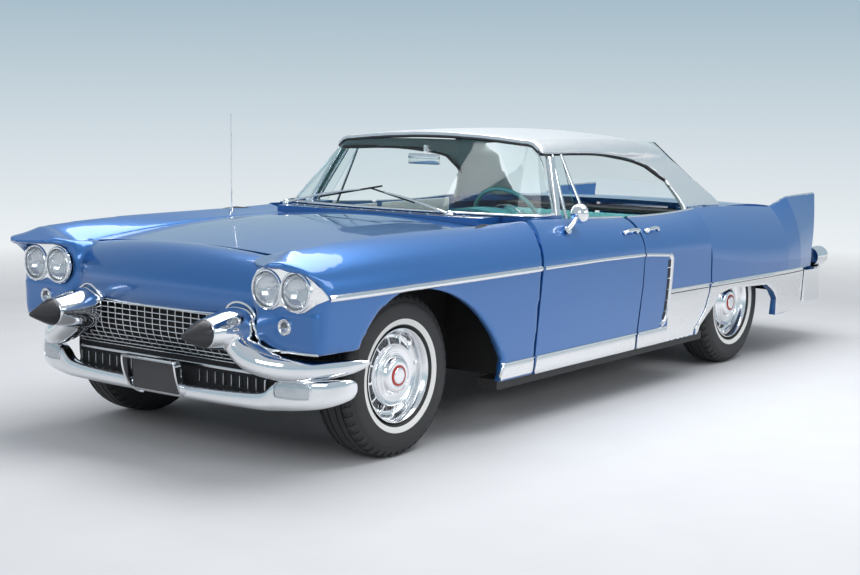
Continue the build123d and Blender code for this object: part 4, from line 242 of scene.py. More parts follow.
# %% Paint and metals
def car_paint():
    """Metallic blue under a clear coat, with fine flakes and a very faint ripple."""
    material, tree, shader = new_material("blue_paint")
    flakes = noise(tree, 900.0, 1.0)
    cloud = noise(tree, 2.0, 2.0)
    deep = blend_colours(tree, flakes, (0.016, 0.112, 0.36), (0.034, 0.175, 0.48))
    tree.links.new(blend_colours(tree, cloud, deep, (0.024, 0.142, 0.42)), shader.inputs["Base Color"])
    tree.links.new(between(tree, flakes, 0.26, 0.36), shader.inputs["Roughness"])
    shader.inputs["Metallic"].default_value = 0.55
    shader.inputs["Coat Weight"].default_value = 1.0
    shader.inputs["Coat Roughness"].default_value = 0.03
    bump(tree, shader, noise(tree, 60.0, 2.0), 0.05, 0.0004)
    return material


def bright_metal(name, colour, rough, stretch=(1.0, 1.0, 1.0), scale=30.0, strength=0.0):
    """Bare or plated metal: wiping marks in its roughness, and brushing where it is stretched."""
    material, tree, shader = new_material(name)
    marks = noise(tree, scale, 4.0, stretch)
    shader.inputs["Metallic"].default_value = 1.0
    dark = tuple(c * 0.93 for c in colour)
    tree.links.new(blend_colours(tree, marks, dark, colour), shader.inputs["Base Color"])
    tree.links.new(between(tree, marks, rough * 0.7, rough * 1.4), shader.inputs["Roughness"])
    if strength:
        bump(tree, shader, marks, strength, 0.0006)
    return material


def moulded(name, first, second, rough, scale=400.0, strength=0.25, metallic=0.0, distance=0.0004):
    """Rubber, vinyl, enamel or cast metal: two close colours and a fine grain."""
    material, tree, shader = new_material(name)
    grain = noise(tree, scale, 3.0)
    tree.links.new(blend_colours(tree, noise(tree, 6.0, 4.0), first, second), shader.inputs["Base Color"])
    tree.links.new(between(tree, grain, rough * 0.85, rough * 1.15), shader.inputs["Roughness"])
    shader.inputs["Metallic"].default_value = metallic
    bump(tree, shader, grain, strength, distance)
    return material


def clear_glass(name, colour, rough=0.0):
    """Thin clear sheet: it lets the far side show and keeps a sharp reflection."""
    material, tree, shader = new_material(name)
    streaks = noise(tree, 5.0, 5.0)
    shader.inputs["Transmission Weight"].default_value = 1.0
    shader.inputs["IOR"].default_value = 1.1
    shader.inputs["Coat Weight"].default_value = 0.25
    shader.inputs["Coat Roughness"].default_value = 0.01
    dim = tuple(c * 0.97 for c in colour)
    tree.links.new(blend_colours(tree, streaks, dim, colour), shader.inputs["Base Color"])
    tree.links.new(between(tree, streaks, rough, rough + 0.02), shader.inputs["Roughness"])
    return material


FINISH = {
    "blue_paint": car_paint(),
    "stainless": bright_metal("brushed_roof", (0.97, 0.96, 0.95), 0.36, (90.0, 1.2, 90.0), 5.0, 0.012),
    "chrome": bright_metal("chrome_plate", (0.87, 0.88, 0.90), 0.05),
    "window_glass": clear_glass("window_glass", (0.90, 0.96, 0.96)),
    "lamp_glass": clear_glass("lamp_glass", (0.93, 0.95, 0.96), 0.03),
    "red_lens": clear_glass("red_lens", (0.60, 0.02, 0.02), 0.05),
    "tyre": moulded("tyre_rubber", (0.020, 0.020, 0.021), (0.032, 0.032, 0.033), 0.60, 500.0, 0.3),
    "black_rubber": moulded("tip_rubber", (0.018, 0.018, 0.020), (0.030, 0.030, 0.034), 0.33, 300.0, 0.08),
    "seat_cloth": moulded("seat_cloth", (0.07, 0.30, 0.31), (0.11, 0.39, 0.40), 0.75, 900.0, 0.5),
    "interior_trim": moulded("turquoise_vinyl", (0.06, 0.27, 0.29), (0.09, 0.34, 0.36), 0.40, 700.0, 0.3),
    "plate_black": moulded("plate_enamel", (0.030, 0.030, 0.034), (0.045, 0.045, 0.05), 0.30, 200.0, 0.05),
    "chassis_black": moulded(
        "chassis_enamel", (0.020, 0.020, 0.021), (0.035, 0.034, 0.033), 0.55, 90.0, 0.3
    ),
    "engine_iron": moulded("engine_enamel", (0.04, 0.10, 0.22), (0.06, 0.14, 0.28), 0.50, 120.0, 0.4, 0.2),
}
PALE_VINYL = moulded("pale_vinyl", (0.70, 0.74, 0.73), (0.80, 0.83, 0.82), 0.42, 700.0, 0.3)
WHITE_RUBBER = moulded("whitewall_rubber", (0.72, 0.72, 0.70), (0.80, 0.80, 0.78), 0.55, 300.0, 0.1)
# Black rubber for the seals and wiper blades; the same black is painted shade in the lower quarter's groove.
RUBBER_AND_GROOVE_SHADE = moulded("rubber_and_groove_shade", (0.012, 0.012, 0.013), (0.020, 0.020, 0.021), 0.5, 400.0, 0.2)
RED_ENAMEL = moulded("red_enamel", (0.42, 0.03, 0.02), (0.50, 0.06, 0.04), 0.25, 200.0, 0.05)
# Near-black painted shade for hollows: behind the grille and the wheel windows, in the side slot and the
# cowl openings. The dials' faces take the same black as their own colour.
SHADE_AND_DIAL_BLACK = moulded("shade_and_dial_black", (0.010, 0.011, 0.013), (0.018, 0.019, 0.022), 0.7, 90.0, 0.2)
BRUSHED_TRIM = bright_metal("brushed_trim", (0.88, 0.88, 0.88), 0.24, (90.0, 1.2, 90.0), 5.0, 0.012)
WHEEL_METAL = bright_metal("wheel_metal", (0.93, 0.93, 0.94), 0.17)
HEADLINER = moulded("headliner_cloth", (0.42, 0.50, 0.50), (0.50, 0.57, 0.57), 0.80, 700.0, 0.3)
SILVER_MESH = bright_metal("silver_mesh", (0.66, 0.67, 0.69), 0.22)
print("finishes", len(bpy.data.materials))

# %% [markdown]
# ## Dressing the CAD nodes
# Each CAD node's record names a material slot. The finish goes into the node's slot and its mesh isn't
# touched, so what no piece replaces already looks right.

# %% Give every CAD node its finish
for part in frame["record"]["subparts"]:
    solid = NODES[part["node"]]
    solid.data.materials.clear()
    solid.data.materials.append(FINISH[part["material_slot"]])
print("nodes dressed", len(NODES))

# %% [markdown]
# ## Helpers for new pieces
# Most trim is a small section swept along a line on the body. The line's points are dropped on the CAD
# panels by a ray, so the trim always sits on the panel that carries it.


# %% Piece helpers
CHROME = FINISH["chrome"]
ON_BODY = ("body", "body")


def finish_piece(name, bm, material=CHROME, body="body", sharp=40.0, mirrored=False):
    """Turns a bmesh into a smooth-shaded object that rides on a body, and frees the bmesh."""
    bmesh.ops.remove_doubles(bm, verts=bm.verts, dist=1e-6)
    if mirrored:
        bmesh.ops.scale(bm, vec=(-1, 1, 1), verts=bm.verts)
    bmesh.ops.recalc_face_normals(bm, faces=bm.faces)
    for face in bm.faces:
        face.smooth = True
    for edge in bm.edges:
        edge.smooth = len(edge.link_faces) == 2 and edge.calc_face_angle(0.0) < math.radians(sharp)
    mesh = bpy.data.meshes.new(name)
    bm.to_mesh(mesh)
    bm.free()
    for one in material if isinstance(material, (list, tuple)) else [material]:
        mesh.materials.append(one)
    piece = bpy.data.objects.new(name, mesh)
    bpy.context.scene.collection.objects.link(piece)
    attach(piece, body)
    return piece


def pair(name, build, material=CHROME, bodies=ON_BODY, sharp=40.0):
    """The same piece on the left and, mirrored, on the right."""
    return [
        finish_piece(f"{name}_{side}", build(), material, body, sharp, side == "right")
        for side, body in zip(("left", "right"), bodies)
    ]


print("bodies of a plain pair", ON_BODY)

# %% [markdown]
# ## Skins through sections
# A loft bridges closed sections one after another, like the ribs of a boat under its planking. It gives
# the flowing castings and bars, and its section can change all along.


# %% Lofts
def ring(bm, points):
    """A closed loop of edges through the points."""
    corners = [bm.verts.new(p) for p in points]
    return [bm.edges.new((a, b)) for a, b in zip(corners, corners[1:] + corners[:1])]


def loft(sections, closed_ends=True):
    """A skin bridged from one closed section to the next."""
    bm = bmesh.new()
    rings = [ring(bm, section) for section in sections]
    for first, second in zip(rings, rings[1:]):
        bmesh.ops.bridge_loops(bm, edges=first + second)
    if closed_ends:
        for end in (rings[0], rings[-1]):
            bmesh.ops.contextual_create(bm, geom=end)
    return bm


print("edges in one ring", len(ring(bmesh.new(), [(0, 0, 0), (1, 0, 0), (1, 1, 0)])))

# %% [markdown]
# ## Rays on the panels
# A ray-caster on a CAD panel answers where the skin is and which way it faces. Trim that is placed by
# rays follows the panel even where its curve isn't known as a formula.


# %% Rays
def surface_of(*names):
    """A ray-caster on some CAD nodes."""
    bm = bmesh.new()
    for name in names:
        bm.from_mesh(NODES[name].data)
    tree = BVHTree.FromBMesh(bm)
    bm.free()
    return tree


def on_top(surface, x, y, lift=0.0):
    """The body's upper point and direction at a place across and along the car."""
    hit, normal, _, _ = surface.ray_cast(Vector((x, y, 2.5)), Vector((0, 0, -1)))
    if normal.z < 0:
        normal = -normal
    return hit + normal * lift, normal


def fine(points, step):
    """A line of points no more than a step apart, through the given ones."""
    out = [Vector(points[0])]
    for a, b in zip(points, points[1:]):
        a, b = Vector(a), Vector(b)
        count = max(1, math.ceil((b - a).length / step))
        out += [a.lerp(b, i / count) for i in range(1, count + 1)]
    return out


print("steps along 1 m", len(fine([(0, 0, 0), (1, 0, 0)], 0.1)) - 1)

# %% [markdown]
# ## Sweeps
# Moldings, seals and beads are one section pushed along a line. The line carries its outward direction,
# so that the section keeps its flat side on the panel.


# %% Sweeps and their sections
def sweep(line, profile, scale_at=None):
    """A section swept along points that carry an outward direction.

    line is a list of (point, outward); profile is a list of (outward, sideways) places.
    """
    sections = []
    for i, (point, out) in enumerate(line):
        before = line[max(i - 1, 0)][0]
        after = line[min(i + 1, len(line) - 1)][0]
        along = (after - before).normalized()
        side = along.cross(out).normalized()
        out = side.cross(along).normalized()
        size = scale_at(i / (len(line) - 1)) if scale_at else 1.0
        sections.append([point + out * (o * size) + side * (s * size) for o, s in profile])
    return loft(sections)


def half_round(width, height, foot=0.001, count=7):
    """A low rounded molding section: flat underneath, crowned on top."""
    arc = [
        (height * math.sin(math.pi * i / (count - 1)), -width / 2 * math.cos(math.pi * i / (count - 1)))
        for i in range(count)
    ]
    return arc + [(-foot, width / 2 * 0.9), (-foot, -width / 2 * 0.9)]


def round_bar(radius, count=10):
    """A round section."""
    return [
        (radius * math.cos(2 * math.pi * i / count), radius * math.sin(2 * math.pi * i / count))
        for i in range(count)
    ]


print("half-round section", len(half_round(0.02, 0.01)), "points")

# %% [markdown]
# ## Turned forms
# Lamps, wheels, tyres and caps are turned parts. A profile is spun about its axis, as on a lathe.


# %% Turned forms
def spun(profile, axis_point, axis, start_way, steps, closed=False):
    """A profile of (along, radius) turned about an axis."""
    bm = bmesh.new()
    axis = Vector(axis).normalized()
    start_way = Vector(start_way).normalized()
    corners = [bm.verts.new(Vector(axis_point) + axis * a + start_way * r) for a, r in profile]
    edges = [bm.edges.new(two) for two in zip(corners, corners[1:])]
    if closed:
        edges.append(bm.edges.new((corners[-1], corners[0])))
    bmesh.ops.spin(
        bm, geom=corners + edges, cent=axis_point, axis=axis, angle=2 * math.pi, steps=steps,
        use_merge=True, use_duplicate=False,
    )
    bmesh.ops.remove_doubles(bm, verts=bm.verts, dist=1e-6)
    return bm


def along_y(profile, place, steps, closed=False):
    """A profile of (towards +Y, radius) turned about a line along the car."""
    return spun(profile, place, (0, 1, 0), (0, 0, 1), steps, closed)


print("turned cone faces", len(along_y([(0, 0), (0, 1), (1, 0)], (0, 0, 0), 8).faces))

# %% [markdown]
# ## Smooth rows and ovals
# A few measured rows describe a casting, and a smooth curve through them gives the rows in between. A
# squared oval is the section that most pressed and cast metal has.


# %% Rows and ovals
def smooth_rows(rows, steps):
    """The given rows of numbers with smooth rows between them."""
    out = []
    last = len(rows) - 1
    for i in range(last):
        four = (rows[max(i - 1, 0)], rows[i], rows[i + 1], rows[min(i + 2, last)])
        for k in range(steps):
            t = k / steps
            out.append(tuple(
                b + 0.5 * t * (c - a + t * (2 * a - 5 * b + 4 * c - d + t * (3 * (b - c) + d - a)))
                for a, b, c, d in zip(*four)
            ))
    return out + [tuple(rows[-1])]


def squared_oval(half_a, half_b, power=2.0, count=32):
    """A closed section between an ellipse (power 2) and a rounded rectangle (power 5)."""
    out = []
    for i in range(count):
        c, w = math.cos(2 * math.pi * i / count), math.sin(2 * math.pi * i / count)
        out.append(
            (
                math.copysign(abs(c) ** (2 / power), c) * half_a,
                math.copysign(abs(w) ** (2 / power), w) * half_b,
            )
        )
    return out


print("oval section", len(squared_oval(1.0, 1.0)), "points")

# %% [markdown]
# ## Modifiers, joins and mirrors
# A remesh fuses crossing forms into one skin, and a relax rounds their hollows. Both are modifiers, and
# their result is taken as a plain mesh. What is the same on both sides is made once and mirrored.


# %% Reshape and join
def reshaped(bm, *recipes):
    """The mesh after some modifiers, applied at once."""
    mesh = bpy.data.meshes.new("work")
    bm.to_mesh(mesh)
    bm.free()
    holder = bpy.data.objects.new("work", mesh)
    bpy.context.scene.collection.objects.link(holder)
    for kind, settings in recipes:
        modifier = holder.modifiers.new(kind.lower(), kind)
        for key, value in settings.items():
            setattr(modifier, key, value)
    done = bpy.data.meshes.new_from_object(holder.evaluated_get(bpy.context.evaluated_depsgraph_get()))
    out = bmesh.new()
    out.from_mesh(done)
    bpy.data.objects.remove(holder)
    bpy.data.meshes.remove(mesh)
    bpy.data.meshes.remove(done)
    return out


def joined(*parts):
    """Several bmeshes as one."""
    out = bmesh.new()
    for part in parts:
        bmesh.ops.recalc_face_normals(part, faces=part.faces)
        mesh = bpy.data.meshes.new("part")
        part.to_mesh(mesh)
        out.from_mesh(mesh)
        bpy.data.meshes.remove(mesh)
        part.free()
    return out


def mirror_too(bm):
    """The piece and its mirror image across the car's middle."""
    other = bm.copy()
    bmesh.ops.scale(other, vec=(-1, 1, 1), verts=other.verts)
    return joined(bm, other)


print("remesh and relax ready")

# %% [markdown]
# ## Front rays and blocks
# The nose is read by rays from ahead. A block with broken edges serves for bars, plates and brackets,
# since a real edge always catches some light.


# %% Front rays and blocks
def on_front(surface, x, z, lift=0.0):
    """The nose's point and outward direction at a place across the car and a height."""
    hit, normal, _, _ = surface.ray_cast(Vector((x, -3.5, z)), Vector((0, 1, 0)))
    if hit is None:
        return Vector((x, -2.418, z)), Vector((0, -1, 0))
    if normal.y > 0:
        normal = -normal
    return hit + normal * lift, normal


def block(bm, size, centre, bevel=0.0):
    """A rectangular bar with broken edges, added to a bmesh."""
    one = bmesh.ops.create_cube(bm, size=1.0)["verts"]
    bmesh.ops.scale(bm, vec=size, verts=one)
    bmesh.ops.translate(bm, vec=centre, verts=one)
    if bevel:
        edges = list({edge for v in one for edge in v.link_edges})
        bmesh.ops.bevel(bm, geom=edges, offset=bevel, affect="EDGES", segments=2, profile=0.5, material=-1)
    return one


FRONT_AXLE_Y, REAR_AXLE_Y, WHEEL_X, TYRE_RADIUS = -1.812, 1.388, 0.7745, 0.365
print("helpers ready")

# %% [markdown]
# ## Tyres
# A crossply tyre with five ribs, a rounded shoulder and a narrow white band between two fine beads. The
# section is spun about the axle, and the band's faces get the white rubber by their distance from it.

# %% Tyres
TYRE_PROFILE = [
    (0.062, 0.2090), (0.074, 0.2120), (0.086, 0.2185), (0.0955, 0.2265), (0.0970, 0.2275), (0.1015, 0.2400),
    (0.1045, 0.2530), (0.1045, 0.2545), (0.1062, 0.2700), (0.1065, 0.2900), (0.1045, 0.3080),
    (0.1000, 0.3240), (0.0985, 0.3250), (0.0935, 0.3370), (0.0880, 0.3470), (0.0800, 0.3560),
    (0.0740, 0.3598), (0.0600, 0.3622), (0.0590, 0.3560), (0.0530, 0.3560), (0.0520, 0.3632),
    (0.0270, 0.3645), (0.0260, 0.3575), (0.0200, 0.3575), (0.0190, 0.3648), (0.0, 0.3650),
]
WHITE_BAND = (0.2275, 0.2535)


def about_axle(profile, steps=96, closed=False):
    """A profile of (outward, radius) turned about an axle through the origin."""
    return spun(profile, (0, 0, 0), (1, 0, 0), (0, 0, 1), steps, closed)


def tyre_mesh():
    """The tyre about an axle through the origin, outer face towards +X."""
    back = [(-a, r) for a, r in reversed(TYRE_PROFILE[:-1])]
    bm = about_axle(TYRE_PROFILE + back + [(-0.05, 0.200), (0.05, 0.200)], closed=True)
    lugs = []
    for face in bm.faces:
        centre = face.calc_center_median()
        radius = math.hypot(centre.y, centre.z)
        if centre.x > 0 and WHITE_BAND[0] < radius < WHITE_BAND[1]:
            face.material_index = 1
        turn = math.degrees(math.atan2(centre.y, centre.z)) % 7.5
        if 0.062 < abs(centre.x) < 0.0935 and radius > 0.337 and turn < 3.75:
            lugs.append(face)
    bmesh.ops.inset_individual(bm, faces=lugs, thickness=0.0006, depth=-0.0035)
    return bm


def wheel_pieces(name, build, material, sharp=40.0):
    """One piece at each wheel, mirrored on the right."""
    made = {}
    for end, axle_y in (("front", FRONT_AXLE_Y), ("rear", REAR_AXLE_Y)):
        for side in ("left", "right"):
            bm = build()
            bmesh.ops.translate(bm, vec=(WHEEL_X, axle_y, TYRE_RADIUS), verts=bm.verts)
            key = f"{end}_{side}"
            body = f"{end}_wheel_{side}"
            made[key] = finish_piece(f"{name}_{key}", bm, material, body, sharp, side == "right")
    return made


tyres = wheel_pieces("tyre", tyre_mesh, [FINISH["tyre"], WHITE_RUBBER], 50.0)
for key, tyre in tyres.items():
    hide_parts(f"tyre_{key}")
print("tyre faces", len(tyres["front_left"].data.polygons))

# %% [markdown]
# ## Wheels
# A bright forged wheel: a rolled rim, a sunk ring with twelve windows between radial blades, and a raised
# dish with fine steps round a domed cap. The cap's middle has a plain red ring.

# %% Wheels
RIM_PROFILE = [
    (0.060, 0.196), (0.070, 0.200), (0.0835, 0.2065), (0.0870, 0.2105), (0.0905, 0.2100), (0.0910, 0.2060),
    (0.0850, 0.2010), (0.0790, 0.1975), (0.0700, 0.1925), (0.0560, 0.1890), (0.0440, 0.1850),
    (0.0340, 0.1790), (0.0320, 0.1700), (0.0315, 0.1640),
]
DISH_PROFILE = [
    (0.0300, 0.1380), (0.0420, 0.1395), (0.0570, 0.1390), (0.0660, 0.1365), (0.0690, 0.1325),
    (0.0680, 0.1290), (0.0650, 0.1270), (0.0640, 0.1180), (0.0660, 0.1165), (0.0650, 0.1075),
    (0.0670, 0.1060), (0.0660, 0.0975), (0.0680, 0.0960), (0.0670, 0.0885), (0.0700, 0.0840),
    (0.0800, 0.0815), (0.0860, 0.0745), (0.0900, 0.0640), (0.0915, 0.0520), (0.0900, 0.0490),
    (0.0900, 0.0470),
]
MEDALLION_PROFILE = [(0.0900, 0.0470), (0.0935, 0.0455), (0.0948, 0.0415), (0.0940, 0.0365)]
CENTRE_PROFILE = [(0.0935, 0.0368), (0.0955, 0.0355), (0.0962, 0.0300), (0.0968, 0.0180), (0.0971, 0.0)]
SHADE_DISC_PROFILE = [(0.024, 0.186), (0.024, 0.0), (0.016, 0.0), (0.016, 0.186)]
BARREL_PROFILE = [
    (0.0600, 0.1960), (0.0250, 0.1800), (-0.0550, 0.1800), (-0.0800, 0.1960), (-0.0900, 0.2085),
    (-0.0870, 0.2095), (-0.0760, 0.2000), (-0.0500, 0.1840), (0.0250, 0.1840), (0.0600, 0.1990),
]


def rim_and_dish():
    """Rim, dish, cap and the bright middle."""
    return joined(*[about_axle(profile) for profile in (RIM_PROFILE, DISH_PROFILE, CENTRE_PROFILE)])


def blades():
    """Twelve thin radial blades between the rim's well and the dish."""
    bm = bmesh.new()
    for i in range(12):
        one = bmesh.ops.create_cube(bm, size=1.0)["verts"]
        bmesh.ops.scale(bm, vec=(0.026, 0.0095, 0.050), verts=one)
        bmesh.ops.translate(bm, vec=(0.0420, 0, 0.1590), verts=one)
        for v in one:
            if v.co.x > 0.045 and v.co.z > 0.16:
                v.co.x -= 0.010
        bmesh.ops.rotate(
            bm, cent=(0, 0, 0), matrix=Matrix.Rotation(math.radians(30 * i + 8), 3, "X"), verts=one
        )
    bmesh.ops.bevel(
        bm, geom=bm.edges[:], offset=0.0014, affect="EDGES", segments=2, profile=0.5, material=-1
    )
    return bm


def fine_fins():
    """Close-set cooling fins seen in the windows, behind the blades."""
    bm = bmesh.new()
    for i in range(96):
        one = bmesh.ops.create_cube(bm, size=1.0)["verts"]
        bmesh.ops.scale(bm, vec=(0.004, 0.0022, 0.044), verts=one)
        bmesh.ops.translate(bm, vec=(0.0275, 0, 0.1590), verts=one)
        bmesh.ops.rotate(
            bm, cent=(0, 0, 0), matrix=Matrix.Rotation(math.radians(3.75 * i), 3, "X"), verts=one
        )
    return bm


rims = wheel_pieces("wheel_face", rim_and_dish, WHEEL_METAL, 50.0)
wheel_pieces("wheel_blades", blades, WHEEL_METAL)
wheel_pieces("wheel_fins", fine_fins, SILVER_MESH)
wheel_pieces("wheel_ring", lambda: about_axle(MEDALLION_PROFILE, 64), RED_ENAMEL)
# A near-black disc behind the wheel's windows: painted shade for the dark space behind them.
wheel_pieces("wheel_shade_disc", lambda: about_axle(SHADE_DISC_PROFILE, 64, True), SHADE_AND_DIAL_BLACK)
wheel_pieces("wheel_barrel", lambda: about_axle(BARREL_PROFILE, 64, True), SILVER_MESH)
for key, rim in rims.items():
    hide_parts(f"wheel_{key}")
print("rims", len(rims))

# %% [markdown]
# ## Front sheet metal
# On the real car one pressing runs from the nose into the fenders with no hard corner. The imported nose
# and fenders are copied and remeshed as one sheet. The flat beside the hood is pulled down into a
# valley, and the corners ahead of the wheels and beside the nose are relaxed, most where they are softest.


# %% Relax and brow
def relax(bm, chosen, rounds, upright=True):
    """Evens out the chosen part of a mesh round by round, level only where upright is off."""
    for k in range(rounds):
        verts = [v for v in bm.verts if chosen(v.co, k)]
        bmesh.ops.smooth_vert(
            bm, verts=verts, factor=0.5, use_axis_x=True, use_axis_y=True, use_axis_z=upright
        )


HOOD_SKIN = surface_of("hood")


def valley_drop(y):
    """How far the fender's inner edge stands over the hood's edge at a place along the car."""
    hit, _, _, _ = HOOD_SKIN.ray_cast(Vector((0.655, min(max(y, -2.225), -0.98), 2.0)), Vector((0, 0, -1)))
    return 0.945 - hit.z


TIP_START, TIP_BEND = 0.885, 5.5
CHEEK_SIZE, CHEEK_CENTRE = (0.034, 0.115, 0.235), (0.5865, -2.3550, 0.785)
BROW = [
    (0.580, 0.872), (0.620, 0.884), (0.830, 0.887), (0.885, 0.868), (0.920, 0.846), (0.950, 0.815),
    (0.975, 0.776), (1.000, 0.760),
]


def brow_height(side):
    """The height of the fender's brow over the lamp plate."""
    for (x0, z0), (x1, z1) in zip(BROW, BROW[1:]):
        if side <= x1:
            return z0 + (z1 - z0) * (max(side, x0) - x0) / (x1 - x0)
    return BROW[-1][1]


def sink_lamp_bed(bm):
    """Moves the sheet back behind the lamp plate, under the brow."""
    for v in bm.verts:
        side = abs(v.co.x)
        if 0.60 < side < 0.972 and 0.70 < v.co.z < brow_height(side):
            v.co.y = max(v.co.y, -2.4280 + TIP_BEND * max(0.0, side - TIP_START) ** 2)


print("hood under the fender edge at the nose", round(valley_drop(-2.2), 3))

# %% [markdown]
# ## Zones to relax
# Each zone says where the sheet may soften, for a point and the number of the round. Some zones shrink
# from round to round, which makes the blend fade out instead of ending in a line.


# %% Zones
def brow_edge(c, k):
    """Near the brow's lower edge."""
    side = abs(c.x)
    return abs(c.z - brow_height(side)) < 0.020 and 0.62 < side < 0.965 and c.y < -2.36


def front_lip(c, k):
    """The fender's face under the lamps, less of it each round."""
    return c.y < -2.25 - 0.003 * k and c.z < 0.70 and abs(c.x) > 0.60


def front_corner(c, k):
    """The corner ahead of the wheel, less of it each round."""
    return c.y < -2.24 and c.z < 0.80 - 0.003 * k and abs(c.x) > 0.90 - 0.002 * k


def cheek(c, k):
    """The wall between the nose and the lamps."""
    side = abs(c.x)
    return c.y < -2.18 - 0.002 * k and 0.53 < side - 0.0008 * k and side < 0.66 - 0.0008 * k and c.z > 0.66


def inner_top(c, k):
    """All but the outer sides and the front face."""
    return abs(c.x) < 0.86 and c.y > -2.42


def anywhere(c, k):
    """The whole sheet."""
    return True


SOFT_ZONES = [
    (front_lip, 30, False), (front_corner, 24, False), (cheek, 34, True), (inner_top, 5, True),
    (anywhere, 3, True),
]


print("soft zones", len(SOFT_ZONES))

# %% [markdown]
# ## Front sheet
# Now the sheet itself: copy, fill the cheeks, remesh, lower the valley, relax each zone, and sink the bed
# of the lamp plate a few times while the brow's edge is evened out.


# %% Front sheet
def front_skin():
    """Fenders and nose as one relaxed sheet."""
    bm = bmesh.new()
    for name in ("front_fenders", "nose_panel"):
        bm.from_mesh(NODES[name].data)
    bmesh.ops.remove_doubles(bm, verts=bm.verts, dist=1e-5)
    for side in (1, -1):
        block(bm, CHEEK_SIZE, (side * CHEEK_CENTRE[0], *CHEEK_CENTRE[1:]))
    bm = reshaped(bm, ("REMESH", {"mode": "VOXEL", "voxel_size": 0.0092}))
    drops = [valley_drop(-2.44 + 0.02 * i) for i in range(80)]
    for v in bm.verts:
        side = abs(v.co.x)
        if 0.60 < side < 0.80 and v.co.z > 0.86:
            drop = drops[min(79, max(0, round((v.co.y + 2.44) / 0.02)))]
            fade = min(1.0, max(0.0, (v.co.y + 2.46) / 0.14))
            v.co.z -= drop * fade * ((0.80 - max(side, 0.665)) / 0.135) ** 2 * 0.9
    for chosen, rounds, upright in SOFT_ZONES:
        relax(bm, chosen, rounds, upright)
    for _ in range(4):
        sink_lamp_bed(bm)
        relax(bm, brow_edge, 3)
    sink_lamp_bed(bm)
    return bm


front_bm = front_skin()
FRONT_SKIN = BVHTree.FromBMesh(front_bm)
front_piece = finish_piece("front_sheet", front_bm, FINISH["blue_paint"], "body", 70.0)
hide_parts("front_fenders", "nose_panel")
print("front sheet faces", len(front_piece.data.polygons))

# %% [markdown]
# ## Front bumper
# Each side is one flowing casting: a bullet that widens towards the body and runs out and down into a
# wing. A spun bullet and a lofted wing are fused by a voxel remesh and relaxed, which gives the soft
# hollows where they meet. The bar below is a loft of rounded sections with deep ends for the lamps.

# %% Bullets and wings
BULLET = Vector((0.485, -2.623, 0.608))
BULLET_PROFILE = [
    (0.000, 0.0), (0.000, 0.058), (0.002, 0.0605), (0.030, 0.0665), (0.080, 0.077), (0.130, 0.087),
    (0.180, 0.094), (0.225, 0.096), (0.226, 0.0),
]
WING_ROWS = [
    (0.480, -2.442, 0.596, 0.086, 0.088), (0.540, -2.452, 0.545, 0.084, 0.078),
    (0.600, -2.452, 0.502, 0.077, 0.064), (0.680, -2.436, 0.476, 0.068, 0.058),
    (0.760, -2.392, 0.461, 0.058, 0.053), (0.850, -2.315, 0.457, 0.048, 0.046),
    (0.920, -2.226, 0.462, 0.034, 0.034), (0.962, -2.160, 0.474, 0.019, 0.020),
    (0.974, -2.138, 0.480, 0.008, 0.008),
]


def bullet_and_wing():
    """The left bullet and wing as one smooth casting."""
    bullet = along_y(BULLET_PROFILE, BULLET, 64)
    sections = []
    for x, y, z, half_y, half_z in smooth_rows(WING_ROWS, 5):
        sections.append([Vector((x, y + a, z + b)) for a, b in squared_oval(half_y, half_z, 2.15, 40)])
    casting = joined(bullet, loft(sections))
    return reshaped(
        casting,
        ("REMESH", {"mode": "VOXEL", "voxel_size": 0.0052}),
        ("SMOOTH", {"factor": 0.5, "iterations": 12}),
    )


wings = pair("bumper_wing", bullet_and_wing, sharp=60.0)
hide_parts("front_bumper")
print("wing faces", len(wings[0].data.polygons))

# %% [markdown]
# ## The bar
# The real bar is one pressing from tip to tip. A loft of rounded sections gives its swelling ends, and a
# ray-caster on it later places the corner lenses.

# %% Bumper bar
BAR_ROWS = [
    (0.000, -2.410, 0.295, 0.030, 0.030, 3.0), (0.250, -2.409, 0.297, 0.030, 0.031, 3.0),
    (0.450, -2.405, 0.301, 0.030, 0.033, 3.0), (0.610, -2.396, 0.309, 0.032, 0.039, 3.2),
    (0.672, -2.389, 0.333, 0.035, 0.058, 3.6), (0.720, -2.380, 0.345, 0.037, 0.065, 4.0),
    (0.790, -2.361, 0.350, 0.040, 0.064, 4.0), (0.867, -2.329, 0.357, 0.040, 0.061, 3.6),
    (0.922, -2.292, 0.366, 0.037, 0.054, 3.0), (0.957, -2.247, 0.376, 0.026, 0.042, 2.6),
    (0.966, -2.222, 0.381, 0.010, 0.022, 2.2),
]


def bumper_bar():
    """The low bar from tip to tip."""
    half = smooth_rows(BAR_ROWS, 5)
    rows = [(-row[0], *row[1:]) for row in reversed(half[1:])] + half
    sections = []
    for x, y, z, half_y, half_z, power in rows:
        sections.append([Vector((x, y + a, z + b)) for a, b in squared_oval(half_y, half_z, power, 44)])
    return loft(sections)


bar_bm = bumper_bar()
BAR_SKIN = BVHTree.FromBMesh(bar_bm)
finish_piece("bumper_bar", bar_bm, sharp=60.0)
brackets = bmesh.new()
for side in (1, -1):
    block(brackets, (0.070, 0.090, 0.060), (side * 0.400, -2.345, 0.300), 0.006)
finish_piece("bumper_brackets", brackets, FINISH["chassis_black"], "body")
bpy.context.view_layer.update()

# %% [markdown]
# ## Small lamps in the bar's ends
# Each is a clear fluted lens with rounded corners, set flush in the chrome. A grid is rounded off,
# dropped on the bar by rays, and given a wall, so the lens has the bar's own curve.


# %% Lens patches
def rounded_patch(centre, half_a, half_b, columns=28, rows=12, round_share=0.38):
    """Places of a rectangular patch with rounded corners, as rows of (a, b)."""
    out = []
    for i in range(rows + 1):
        line = []
        for j in range(columns + 1):
            u, v = 2 * j / columns - 1, 2 * i / rows - 1
            line.append((centre[0] + u * math.sqrt(1 - round_share * v * v / 2) * half_a,
                         centre[1] + v * math.sqrt(1 - round_share * u * u / 2) * half_b))
        out.append(line)
    return out


